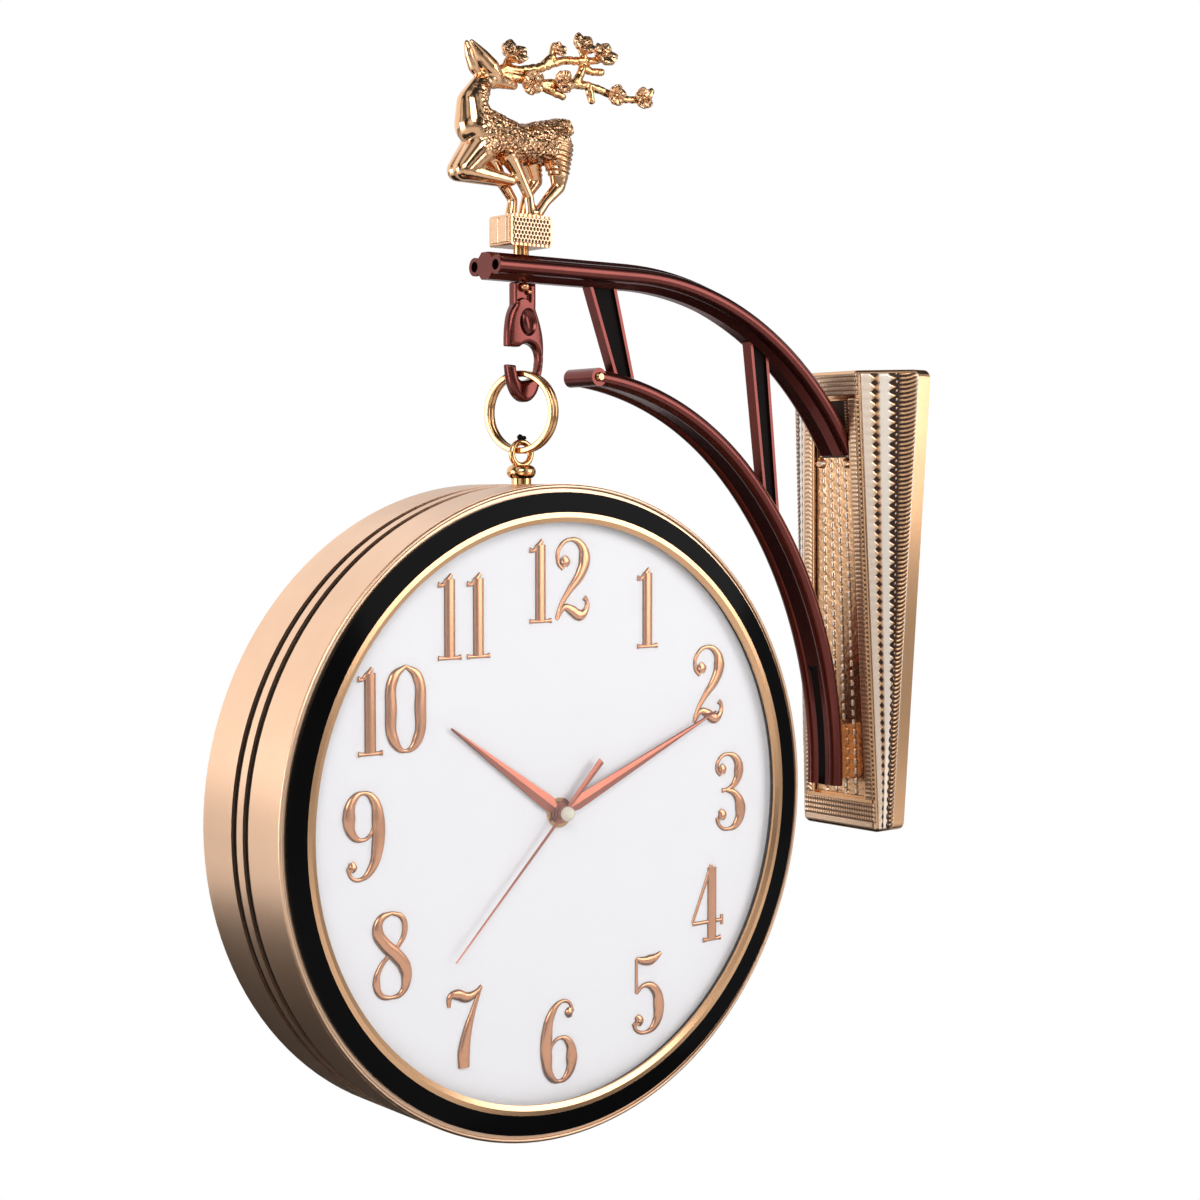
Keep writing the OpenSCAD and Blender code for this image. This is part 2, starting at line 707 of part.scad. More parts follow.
// A watch-glass lens: two shallow caps of the same radius, a glass's thickness apart
module half_lens() color([0.9, 0.95, 1, 0.3]) {
    steps = 8;
    up = [for (i = [0:steps]) let (r = dial_r * i / steps) [r, lens_back + lens_t + rise_at(r)]];
    down = [for (i = [0:steps]) let (r = dial_r * (steps - i) / steps) [r, lens_back + rise_at(r)]];
    about_case() rotate_extrude() polygon(concat(up, down));
}
module half_dial() color("white") {
    about_case() translate([0, 0, dial_back]) difference() {
        cylinder(r = dial_r, h = dial_t);
        translate([0, 0, -over]) cylinder(d = arbor_bore_d, h = dial_t + 2 * over);
    }
}
// Radial screws through the shell's wall into the dial frame
module screws(extra) {
    about_case() for (turn = screw_turns) rotate([0, 0, turn])
        translate([case_r, 0, (frame_back + shell_face - face_t) / 2]) rotate([0, -90, 0]) {
            translate([0, 0, -extra]) cylinder(d = screw_head_d, h = screw_head_t + extra);
            cylinder(d = screw_d, h = screw_len);
        }
}
module half_case_screws() color(pale_gold) screws(0);

// Movement: a square box with a threaded stem, and a bay in its back for the dry cell
module half_movement() color(jet) {
    back = dial_back - movement_t;
    about_case() difference() {
        union() {
            translate([-movement_w / 2, -movement_w / 2, back]) cube([movement_w, movement_w, movement_t]);
            translate([0, 0, back]) cylinder(d = stem_d, h = dial_face + nut_round_t - back);
        }
        translate([0, 0, back + knob_pin_len]) cylinder(d = hour_tube_d + 2 * running, h = movement_t * 2);
        translate([0, 0, back - over]) cylinder(d = knob_pin_d + 2 * running, h = knob_pin_len);
        cell_space();
    }
}
module cell_space() {
    w = cell_d + 2 * cell_bay_gap;
    l = cell_len + 2 * cell_bay_gap;
    translate([-l / 2, -cell_off - w / 2, dial_back - movement_t - over]) cube([l, w, cell_d + over + cell_bay_gap]);
}
module half_cell() color("gray") {
    about_case() translate([-cell_len / 2, -cell_off, dial_back - movement_t + cell_d / 2 + cell_bay_gap / 2])
        rotate([0, 90, 0]) {
            cylinder(d = cell_d, h = cell_len - cell_nub_len);
            cylinder(d = cell_nub_d, h = cell_len);
        }
}
module half_dial_nut() color("gold") {
    about_case() translate([0, 0, dial_face]) difference() {
        cylinder(d = nut_round_d, h = nut_round_t);
        translate([0, 0, -over]) cylinder(d = stem_d, h = nut_round_t + 2 * over);
    }
}
module half_set_knob() color(jet) {
    back = dial_back - movement_t;
    about_case() {
        translate([0, 0, back - knob_t - loose]) cylinder(d = knob_d, h = knob_t);
        translate([0, 0, back - knob_t]) cylinder(d = knob_pin_d, h = knob_t + knob_pin_len - over * 2);
    }
}

// Hands: a faceted dart with a hub, a tube behind it and a bore for the arbor inside
module dart(len, wide, hub) {
    belly = len * hand_belly_share;
    linear_extrude(hand_t) polygon([[0, 0], [wide / 2, belly], [0, len], [-wide / 2, belly]]);
    cylinder(d = hub, h = hand_t);
}
module half_hour_hand(turn) color(copper) {
    about_case() difference() {
        union() {
            translate([0, 0, hour_h]) rotate([0, 0, -turn]) dart(hour_len, hour_w, hub_d);
            translate([0, 0, dial_back]) cylinder(d = hour_tube_d, h = hour_h - dial_back + hand_t);
        }
        translate([0, 0, dial_back - over])
            cylinder(d = minute_tube_d + 2 * running, h = minute_h);
    }
}
module half_minute_hand(turn) color(copper) {
    about_case() difference() {
        union() {
            translate([0, 0, minute_h]) rotate([0, 0, -turn]) dart(minute_len, minute_w, minute_hub_d);
            translate([0, 0, dial_back]) cylinder(d = minute_tube_d, h = minute_h - dial_back + hand_t);
        }
        translate([0, 0, dial_back - over])
            cylinder(d = second_pin_d + 2 * running, h = second_h);
    }
}
module half_second_hand(turn) color("gold") {
    about_case() {
        translate([0, 0, second_h]) rotate([0, 0, -turn]) {
            linear_extrude(hand_t) {
                polygon([[-second_w / 2, 0], [second_w / 2, 0], [second_w / 4, second_len], [-second_w / 4, second_len]]);
                polygon([[-second_w / 2, 0], [second_w / 2, 0], [tail_w / 2, -second_tail], [-tail_w / 2, -second_tail]]);
            }
            cylinder(d = second_hub_d, h = hand_t);
        }
        translate([0, 0, dial_back]) cylinder(d = second_pin_d, h = second_h - dial_back + hand_t);
        translate([0, 0, second_h + hand_t]) intersection() {
            translate([0, 0, cap_t - cap_d / 2]) sphere(d = cap_d);
            cylinder(d = cap_d, h = cap_t);
        }
    }
}

// Ornament
module post_thread() {
    translate([-reach, 0, arm_top_z - core_w / 2]) cylinder(d = shank_d, h = core_w);
}
module ornament_post() color("gold") {
    translate([-reach, 0, arm_top_z]) difference() {
        cylinder(d = post_d, h = post_h);
        for (i = [0:post_flutes - 1]) rotate([0, 0, 360 * i / post_flutes]) translate([post_d / 2, 0, -over])
            cylinder(d = post_flute_d, h = post_h + 2 * over, $fn = 16);
    }
    translate([-reach, 0, arm_top_z - core_w / 2]) cylinder(d = shank_d, h = core_w / 2 + post_h / 2);
}
module ornament_base() color(pale_gold) {
    translate([-reach, 0, arm_top_z + post_h]) difference() {
        hull() for (end = [-1, 1]) {
            translate([end * (base_w / 2 - base_round), 0, base_h - base_round]) rotate([90, 0, 0])
                cylinder(r = base_round, h = base_d, center = true, $fn = 24);
            translate([end * (base_w / 2 - base_round / 2), 0, base_round / 2]) rotate([90, 0, 0])
                cylinder(r = base_round / 2, h = base_d, center = true, $fn = 24);
        }
        for (side = [-1, 1], i = [0:knurl_count])
            translate([(i / knurl_count - 0.5) * (base_w - base_round * 2), side * base_d / 2, -over])
                cylinder(d = knurl_w, h = base_h + 2 * over, $fn = 16);
    }
}
function figure_at(share) = [share[0] * figure_h, (len(share) > 3 ? share[3] : 0) * figure_h, share[1] * figure_h];
module limb(a, b) {
    hull() {
        translate(figure_at(a)) sphere(r = a[2] * figure_h, $fn = 12);
        translate(figure_at(b)) sphere(r = b[2] * figure_h, $fn = 12);
    }
}
module chain(shares, spread = 0) {
    translate([0, spread * figure_h, 0]) for (i = [0:len(shares) - 2]) limb(shares[i], shares[i + 1]);
}
module on_base() { translate([-reach, 0, arm_top_z + post_h + base_h]) children(); }
module deer() color(pale_gold) on_base() {
    intersection() {
        union() {
            chain(torso_shares);
            chain(neck_shares);
            chain(head_shares);
            chain(tail_shares);
            chain(ear_shares, leg_spread_share);
            chain(ear_shares, -leg_spread_share);
            chain(bent_leg_shares, -leg_spread_share);
            chain(near_fore_shares, -leg_spread_share);
            chain(far_fore_shares, leg_spread_share);
            chain(near_hind_shares, -leg_spread_share);
            chain(far_hind_shares, leg_spread_share);
        }
        translate([-figure_h, -figure_h, 0]) cube(figure_h * 2);
    }
}
module twig(a, b) {
    r = twig_share * figure_h;
    hull() {
        translate([a[0] * figure_h, 0, a[1] * figure_h]) sphere(r = r, $fn = 8);
        translate([b[0] * figure_h, 0, b[1] * figure_h]) sphere(r = r, $fn = 8);
    }
}
module antler_branch() color("gold") on_base() {
    for (run = antler_shares) for (i = [0:len(run) - 2]) twig(run[i], run[i + 1]);
}
module blossoms() color("gold") on_base() {
    r = blossom_r_share * figure_h;
    for (at = blossom_shares) translate([at[0] * figure_h, -blossom_t / 2 - twig_share * figure_h, at[1] * figure_h])
        rotate([90, 0, 0]) {
            for (i = [0:petals - 1]) rotate([0, 0, 90 + 360 * i / petals]) translate([r * 0.55, 0, 0])
                cylinder(r = r * 0.42, h = blossom_t / 2, center = true, $fn = 24);
            cylinder(r = r * 0.3, h = blossom_t, center = true, $fn = 24);
        }
}

// The rear half is the front half turned about the clock's upright axis
module rear() { translate([-reach, 0, 0]) rotate([0, 0, 180]) translate([reach, 0, 0]) children(); }

wall_plate();
foot_boss();
arm_screws();
upper_arm();
lower_arm();
inner_strut();
outer_strut();
tip_rivets();
hook();
hook_balls();
ornament_post();
ornament_base();
deer();
antler_branch();
blossoms();
hanging_ring();
hanger_stud();
hanger_nut();
centre_band();
half_shell();  // front_shell
half_seal();  // front_seal
half_rim_bead();  // front_rim_bead
half_bezel();  // front_bezel
half_lip();  // front_lip
half_dial_frame();  // front_dial_frame
half_spacer();  // front_spacer
half_lens();  // front_lens
half_dial();  // front_dial
half_case_screws();  // front_case_screws
half_movement();  // front_movement
half_cell();  // front_cell
half_dial_nut();  // front_dial_nut
half_set_knob();  // front_set_knob
half_hour_hand(hour_turn);  // front_hour_hand
half_minute_hand(minute_turn);  // front_minute_hand
half_second_hand(second_turn);  // front_second_hand
rear() half_shell();  // rear_shell
rear() half_seal();  // rear_seal
rear() half_rim_bead();  // rear_rim_bead
rear() half_bezel();  // rear_bezel
rear() half_lip();  // rear_lip
rear() half_dial_frame();  // rear_dial_frame
rear() half_spacer();  // rear_spacer
rear() half_lens();  // rear_lens
rear() half_dial();  // rear_dial
rear() half_case_screws();  // rear_case_screws
rear() half_movement();  // rear_movement
rear() half_cell();  // rear_cell
rear() half_dial_nut();  // rear_dial_nut
rear() half_set_knob();  // rear_set_knob
rear() half_hour_hand(hour_turn);  // rear_hour_hand
rear() half_minute_hand(minute_turn);  // rear_minute_hand
rear() half_second_hand(second_turn);  // rear_second_hand
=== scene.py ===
"""Double-sided wall clock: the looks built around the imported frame."""

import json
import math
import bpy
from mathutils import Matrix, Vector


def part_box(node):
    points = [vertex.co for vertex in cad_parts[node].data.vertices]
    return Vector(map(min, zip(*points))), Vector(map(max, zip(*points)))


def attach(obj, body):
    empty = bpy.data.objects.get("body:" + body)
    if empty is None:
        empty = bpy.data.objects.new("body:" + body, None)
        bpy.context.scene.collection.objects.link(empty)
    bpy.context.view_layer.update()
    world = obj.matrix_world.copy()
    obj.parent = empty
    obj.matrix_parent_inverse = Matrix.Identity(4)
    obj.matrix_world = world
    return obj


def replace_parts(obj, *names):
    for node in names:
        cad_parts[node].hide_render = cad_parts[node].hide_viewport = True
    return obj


bl_info = {
    "name": "Double-sided wall clock",
    "version": (1, 0, 0),
    "blender": (4, 5, 0),
    "location": "View3D > Sidebar > Clock",
    "description": "Gilt wall clock on an arched bracket, with its finishes, numerals, hands and deer",
    "category": "Add Mesh",
}

import bmesh
import bpy
from mathutils import Matrix, Vector, noise
from mathutils.bvhtree import BVHTree

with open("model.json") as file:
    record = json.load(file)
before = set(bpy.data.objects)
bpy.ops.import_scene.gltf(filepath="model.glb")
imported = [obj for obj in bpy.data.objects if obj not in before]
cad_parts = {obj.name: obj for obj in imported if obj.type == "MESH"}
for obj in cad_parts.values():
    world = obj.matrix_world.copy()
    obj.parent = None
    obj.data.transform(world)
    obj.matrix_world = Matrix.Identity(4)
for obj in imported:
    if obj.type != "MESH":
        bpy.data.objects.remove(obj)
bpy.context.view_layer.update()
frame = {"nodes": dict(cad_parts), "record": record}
MM = 0.001


def mid(node):
    """The middle of a CAD node's box."""
    low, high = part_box(node)
    return (low + high) / 2


CLOCK = Vector((mid("centre_band").x, 0, mid("front_dial").z))
DIAL_OUT = -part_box("front_dial")[0].y
BASE_LOW, BASE_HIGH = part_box("ornament_base")
FIGURE_FOOT = Vector((mid("ornament_base").x, 0, BASE_HIGH.z))
CAD_LOW = min(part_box(node)[0].z for node in frame["nodes"])


def points(text):
    """Points written as text: a comma between points, a space between a point's numbers."""
    return [tuple(float(word) for word in point.split()) for point in text.split(",")]


def given(thing, **settings):
    """The thing, once it has these settings."""
    for key, value in settings.items():
        setattr(thing, key, value)
    return thing


# The matrix that moves by a vector
moved = Matrix.Translation


def srgb(*channels):
    """A colour given as it looks on a screen, 0 to 255, as linear light."""
    shares = [channel / 255 for channel in channels]
    return tuple(c / 12.92 if c <= 0.04045 else ((c + 0.055) / 1.055) ** 2.4 for c in shares)


def colour(name, description, *channels):
    return bpy.props.FloatVectorProperty(
        name=name, description=description, subtype="COLOR", size=3, min=0, max=1,
        default=srgb(*channels))


def number(name, description, value, **more):
    return bpy.props.FloatProperty(name=name, description=description, default=value, **more)


def length(name, description, millimetres):
    return number(name, description, millimetres * MM, unit="LENGTH", precision=5)


def share(name, description, value):
    return number(name, description, value, subtype="FACTOR")


class FinishSettings(bpy.types.PropertyGroup):
    """Colours and roughness of the finishes."""
    rose_gold: colour("Rose gold", "Plating of the case", 236, 196, 164)
    pale_gold: colour("Pale gold", "Plating of the wall plate and the deer", 228, 180, 138)
    bright_gold: colour("Bright gold", "Plating of the ring, the hanger and the branches", 226, 176, 124)
    # Painted shade: the colour painted into the gilt relief's hollows where shade falls
    recess: colour("Recess", "Colour in the deep places of the gilt relief", 52, 26, 12)
    mahogany: colour("Mahogany metal", "Enamel of the bracket", 112, 53, 47)
    copper: colour("Copper", "Plating of the numerals", 224, 158, 116)
    hand_copper: colour("Hand copper", "Plating of the hands", 178, 104, 84)
    jet: colour("Jet", "Gloss black of the bezels", 9, 9, 10)
    dial: colour("Dial", "White of the dials", 243, 242, 245)
    pearl: colour("Pearl", "Caps of the hands", 236, 228, 212)
    plating_roughness: share("Plating roughness", "Roughness of the polished plating", 0.16)
    satin_roughness: share("Satin roughness", "Roughness of the brushed case", 0.3)


class NumeralSettings(bpy.types.PropertyGroup):
    """Size of the dial's numerals."""
    height: length("Height", "Height of the numerals", 38.6)
    circle: length("Circle", "Radius of the circle through the numerals' centres", 108)
    relief: length("Relief", "Height of a thick stroke above the dial", 1.5)
    weight: share("Weight", "Boldness of the strokes", 1.12)


class HandSettings(bpy.types.PropertyGroup):
    """Size of the hands."""
    hour_width: length("Hour hand width", "Width of the hour hand near its hub", 7.4)
    minute_width: length("Minute hand width", "Width of the minute hand near its hub", 6.6)
    pearl: length("Pearl", "Diameter of the cap on the hands", 6.9)


class PlateSettings(bpy.types.PropertyGroup):
    """Relief of the wall plate."""
    pitch: length("Pitch", "Distance between two diamonds of the slopes' relief", 4.6)
    relief: length("Relief", "Height of the ribs", 0.5)
    foot_width: length("Foot width", "Width of the plate's back at its foot", 58.4)
    panel_top_width: length("Panel top width", "Width of the panel at its top", 40.4)
    panel_foot_width: length("Panel foot width", "Width of the panel at its foot", 55)
    panel_foot_out: length("Panel foot depth", "How far the panel's foot stands out", 19)
    rim: length("Rim", "Depth of the straight rim", 8.9)
    field_top_width: length("Field top width", "Width of the sunk field at its top", 24)
    field_foot_width: length("Field foot width", "Width of the sunk field at its foot", 37.4)
    field_top: length("Field top", "Height of the sunk field's top above the plate's middle", 108)
    field_foot: length("Field foot", "Height of the sunk field's foot above the plate's middle", -105.5)
    # Above this height the field is painted shade, a dark slot round the arm
    slot: length("Slot", "Height above which the field is a dark slot round the arm", 76)


class OrnamentSettings(bpy.types.PropertyGroup):
    """Deer, branches and blossoms."""
    height: length("Height", "Height of the deer and its branches above the base", 89.7)
    voxel: length("Detail", "Size of the finest detail in the cast figure", 0.55)


class StageSettings(bpy.types.PropertyGroup):
    """Camera, floor and lamps."""
    focal: number("Lens", "Focal length", 63, unit="CAMERA")
    azimuth: number("Azimuth", "Direction the camera looks from", math.radians(-39.5), unit="ROTATION")
    elevation: number("Elevation", "Height angle of the camera", math.radians(2.9), unit="ROTATION")
    camera_at: bpy.props.FloatVectorProperty(
        name="Camera", description="Where the camera stands", default=(-0.8381, -0.7894, 0.0577),
        unit="LENGTH")
    floor_drop: length("Floor", "Distance from the clock's lowest point to the floor", 160)
    key_power: number("Key lamp", "Power that the lamps' shares are taken of", 9, unit="POWER")


SETTINGS = {
    "clock_finish": FinishSettings, "clock_numerals": NumeralSettings, "clock_hands": HandSettings,
    "clock_plate": PlateSettings, "clock_ornament": OrnamentSettings, "clock_stage": StageSettings,
}


class Sock:
    """A shader socket that takes part in arithmetic."""

    def __init__(self, tree, socket):
        self.tree = tree
        self.socket = socket

    def _math(self, operation, *values):
        return self.tree.node("Math", dict(enumerate(values)), operation=operation)

    def __add__(self, other):
        return self._math("ADD", self, other)

    def __sub__(self, other):
        return self._math("SUBTRACT", self, other)

    def __rsub__(self, other):
        return self._math("SUBTRACT", other, self)

    def __mul__(self, other):
        return self._math("MULTIPLY", self, other)

    __radd__ = __add__
    __rmul__ = __mul__

    def clamp(self, low, high):
        """0 below low, 1 above high, straight between."""
        return self.tree.node("MapRange", {0: self, 1: low, 2: high}, clamp=True)


class Nodes:
    """A node tree under construction."""

    def __init__(self, tree):
        self.tree = tree

    def node(self, kind, inputs=None, out=0, **settings):
        node = given(self.tree.nodes.new("ShaderNode" + kind), **settings)
        for key, value in (inputs or {}).items():
            self.put(node.inputs[key], value)
        return Sock(self, node.outputs[out])

    def put(self, socket, value):
        if isinstance(value, Sock):
            self.tree.links.new(value.socket, socket)
        elif socket.type == "RGBA" and len(value) == 3:
            socket.default_value = (*value, 1)
        else:
            socket.default_value = value

    def mix(self, amount, low, high):
        return self.node("Mix", {0: amount, 6: low, 7: high}, 2, data_type="RGBA")

    def ray(self, kind):
        """1 for one kind of ray, such as the camera's, and 0 for the others."""
        return self.node("LightPath", out=f"Is {kind} Ray")


FINISHES = {}


class Finish(Nodes):
    """A material under construction, kept by its name."""

    def __init__(self, name):
        self.material = bpy.data.materials.new(name)
        self.material.use_nodes = True
        super().__init__(self.material.node_tree)
        self.shader = self.tree.nodes["Principled BSDF"]
        self.place = self.node("TexCoord", out="Object")
        FINISHES[name] = self

    def set(self, **values):
        """Values for the shader's sockets, with underscores for spaces."""
        for key, value in values.items():
            self.put(self.shader.inputs[key.replace("_", " ")], value)

    def noise(self, scale, detail, stretch=None):
        place = self.place
        if stretch:
            place = self.node("VectorMath", {0: place, 1: stretch}, operation="MULTIPLY")
        return self.node("TexNoise", {"Vector": place, "Scale": scale, "Detail": detail})

    def cells(self, scale):
        return self.node("TexVoronoi", {"Vector": self.place, "Scale": scale})

    def bump(self, height, distance, strength):
        """Distance is in millimetres."""
        return self.node("Bump", {"Height": height, "Distance": distance * MM, "Strength": strength})

    def attribute(self, name):
        return self.node("Attribute", out="Fac", attribute_name=name)


def darker(shade, factor):
    return tuple(c * factor for c in shade)


def plating(name, shade, roughness):
    """Polished plating: faint clouding of its colour, painted shade where the piece's own attribute asks for
    it, as at the numerals' feet by the dial, and a roughness that wanders a little.
    """
    finish = Finish(name)
    cloud = finish.noise(28, 4)
    grain = finish.noise(900, 2)
    unshaded = finish.mix(cloud.clamp(0.35, 0.75) * 0.25, shade, darker(shade, 0.72))
    finish.set(
        Base_Color=finish.mix(finish.attribute("painted_shade"), unshaded, darker(shade, 0.1)),
        Roughness=roughness + 0.08 * cloud,
        Metallic=1.0,
        Normal=finish.bump(grain, 0.05, 0.25))


def relief_gold(looks):
    """Gilt relief: painted shade darkens its hollows and painted highlight whitens its bands and crests, by
    the piece's own attributes.
    """
    finish = Finish("relief_gold")
    painted_shade = finish.attribute("painted_shade")
    pale = finish.attribute("pale")
    cloud = finish.noise(60, 3)
    body = finish.mix(cloud.clamp(0.3, 0.7) * 0.3, looks.pale_gold, darker(looks.pale_gold, 0.7))
    lit = finish.mix(pale, body, srgb(255, 250, 240))
    finish.set(
        Base_Color=finish.mix(painted_shade, lit, looks.recess),
        Metallic=1.0 - 0.6 * painted_shade - 0.7 * pale,
        Roughness=0.18 + 0.14 * cloud + 0.2 * painted_shade)


def cast_gold(looks):
    """The deer's coat: stippled, with painted shade in the stipple's pits, where its attribute says, polished
    elsewhere.
    """
    finish = Finish("cast_gold")
    coat = finish.attribute("coat")
    pits = finish.cells(560)
    waves = finish.noise(300, 3)
    # Painted shade: the stipple's pits darkened where the coat attribute is high
    dark = (coat * (1 - pits.clamp(0.2, 0.5))).clamp(0.2, 1.0)
    finish.set(
        Base_Color=finish.mix(dark * 0.85, looks.pale_gold, darker(looks.pale_gold, 0.18)),
        Metallic=1.0,
        Roughness=0.12 + 0.06 * coat,
        Normal=finish.bump(coat * (pits + 0.6 * waves), 1.1, 1.0))


def enamel(looks):
    """Metallic red-brown enamel under a thin clear coat."""
    finish = Finish("mahogany_metal")
    cloud = finish.noise(40, 3)
    flake = finish.noise(2600, 1)
    finish.set(
        Base_Color=finish.mix(cloud.clamp(0.3, 0.75) * 0.4, looks.mahogany, darker(looks.mahogany, 0.55)),
        Metallic=0.95,
        Roughness=0.2 + 0.08 * cloud,
        Coat_Weight=0.2,
        Normal=finish.bump(flake, 0.03, 0.3))


def lens():
    """Thin clear glass that hardly shows but for its gloss."""
    glass = Finish("lens_glass")
    smear = glass.noise(35, 2)
    glass.set(Base_Color=(1, 1, 1), Roughness=0.02 + 0.03 * smear, Alpha=0.035 + 0.02 * smear)


def clouded(name, pattern, amount, shades, roughness, wander, bump=None, **more):
    """A plain finish: one noise mixes its two shades, moves its roughness and may raise a bump."""
    finish = Finish(name)
    cloud = finish.noise(*pattern)
    if bump:
        more["Normal"] = finish.bump(cloud, *bump)
    finish.set(Base_Color=finish.mix(cloud * amount, *shades), Roughness=roughness + wander * cloud, **more)


def make_finishes(looks):
    rough = looks.plating_roughness
    plating("rose_gold", looks.rose_gold, looks.satin_roughness)
    plating("pale_gold", looks.pale_gold, rough)
    plating("bright_gold", looks.bright_gold, rough * 0.7)
    plating("rose_copper", looks.copper, rough * 1.2)
    plating("hand_copper", looks.hand_copper, rough * 1.6)
    plating("steel", srgb(196, 198, 202), 0.3)
    relief_gold(looks)
    cast_gold(looks)
    enamel(looks)
    lens()
    clouded("jet_gloss", (30, 3), 0.3, (looks.jet, srgb(20, 19, 20)), 0.05, 0.06,
            Specular_IOR_Level=0.03)
    clouded("seal_black", (700, 2), 0.4, (srgb(6, 5, 5), srgb(14, 12, 11)), 0.42, 0.2, (0.1, 0.3),
            Specular_IOR_Level=0.1)
    # Near-black of painted shade, for the skins in the bracket's channels
    clouded("channel_shade", (600, 2), 0.4, (srgb(12, 6, 6), srgb(26, 13, 12)), 0.55, 0.2,
            Specular_IOR_Level=0.1)
    clouded("movement_plastic", (1500, 2), 0.3, (srgb(24, 24, 26), srgb(50, 50, 54)), 0.5, 0.12, (0.1, 0.4))
    clouded("dial_white", (220, 3), 0.2, (looks.dial, darker(looks.dial, 0.93)), 0.5, 0.1, (0.04, 0.2))
    clouded("cell_skin", (180, 2, (4.0, 1.0, 1.0)), 1.0, (srgb(120, 34, 30), srgb(40, 40, 44)), 0.35, 0.1,
            Metallic=0.3)
    clouded("pearl_cap", (500, 3), 0.5, (looks.pearl, srgb(214, 200, 178)), 0.14, 0.08, Coat_Weight=0.6)


SLOT_OF = {s["node"]: s["material_slot"] for s in frame["record"]["subparts"]}


class CLOCK_OT_finishes(bpy.types.Operator):
    """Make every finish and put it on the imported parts"""
    bl_idname = "clock.finishes"
    bl_label = "Finishes"

    def execute(self, context):
        make_finishes(context.scene.clock_finish)
        for name, obj in frame["nodes"].items():
            obj.data.materials.clear()
            obj.data.materials.append(FINISHES[SLOT_OF[name]].material)
        return {"FINISHED"}


def mesh_of(name, bm):
    """A mesh made of a bmesh, which is freed."""
    mesh = bpy.data.meshes.new(name)
    bm.to_mesh(mesh)
    bm.free()
    return mesh


def bmesh_of(mesh):
    bm = bmesh.new()
    bm.from_mesh(mesh)
    return bm


def loose(name, shape):
    """An object of a bmesh, a mesh or a curve, on no body yet."""
    data = mesh_of(name, shape) if isinstance(shape, bmesh.types.BMesh) else shape
    obj = bpy.data.objects.new(name, data)
    bpy.context.scene.collection.objects.link(obj)
    return obj


def piece(name, shape, finish, body, smooth=True):
    """Makes a visible object of a bmesh or a mesh and lets it ride on a body."""
    obj = loose(name, shape)
    mesh = obj.data
    mesh.polygons.foreach_set("use_smooth", [smooth] * len(mesh.polygons))
    mesh.materials.clear()
    mesh.materials.append(FINISHES[finish].material)
    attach(obj, body)
    return obj


def evaluated(obj):
    """The object's mesh with its modifiers applied; the object is taken away."""
    graph = bpy.context.evaluated_depsgraph_get()
    graph.update()
    mesh = bpy.data.meshes.new_from_object(obj.evaluated_get(graph))
    bpy.data.objects.remove(obj)
    return mesh


def add_ball(bm, radius, place, segments, rings):
    """A round ball, at a place or with a matrix of its own."""
    matrix = place if isinstance(place, Matrix) else moved(place)
    return bmesh.ops.create_uvsphere(bm, u_segments=segments, v_segments=rings, radius=radius,
                                     matrix=matrix)["verts"]


def add_spline(data, knots, cyclic=False):
    """A smooth line through knots of x, y, radius and whether the knot is soft."""
    spline = data.splines.new("BEZIER")
    spline.bezier_points.add(len(knots) - 1)
    spline.use_cyclic_u = cyclic
    for knot, (x, y, radius, soft) in zip(spline.bezier_points, knots):
        bend = "AUTO" if soft else "VECTOR"
        given(knot, co=(x, y, 0), radius=radius, handle_left_type=bend, handle_right_type=bend)


def cast(obj, voxel, rounds):
    """The object's shapes melted into one skin, as in a casting."""
    given(obj.modifiers.new("melt", "REMESH"), mode="VOXEL", voxel_size=voxel)
    given(obj.modifiers.new("soften", "SMOOTH"), iterations=rounds)
    return evaluated(obj)


def wave(x):
    """0 to 1 and back once for each whole step of x, 1 at a whole x."""
    return 0.5 + 0.5 * math.cos(2 * math.pi * x)


def step(x, low, high):
    """0 below low and 1 above high, smooth between."""
    s = min(1, max(0, (x - low) / (high - low)))
    return s * s * (3 - 2 * s)


def inside(x, low, high, soft=0.02):
    """1 between low and high and 0 outside, with soft ends."""
    return step(x, low - soft, low + soft) * (1 - step(x, high - soft, high + soft))


def facing(side, out):
    """Turns a drawing in x and y, with z towards the viewer, onto the front (-1) or rear (1) dial."""
    turn = Matrix(((1, 0, 0, CLOCK.x), (0, 0, -1, -out), (0, 1, 0, CLOCK.z), (0, 0, 0, 1)))
    if side > 0:
        about = moved(Vector((CLOCK.x, 0, 0)))
        return about @ Matrix.Rotation(math.pi, 4, "Z") @ about.inverted() @ turn
    return turn


SIDES = {"front": -1, "rear": 1}


def digit(width, *strokes):
    """A digit: its width and its strokes, as shares of its height."""
    return width, [points(stroke) for stroke in strokes]


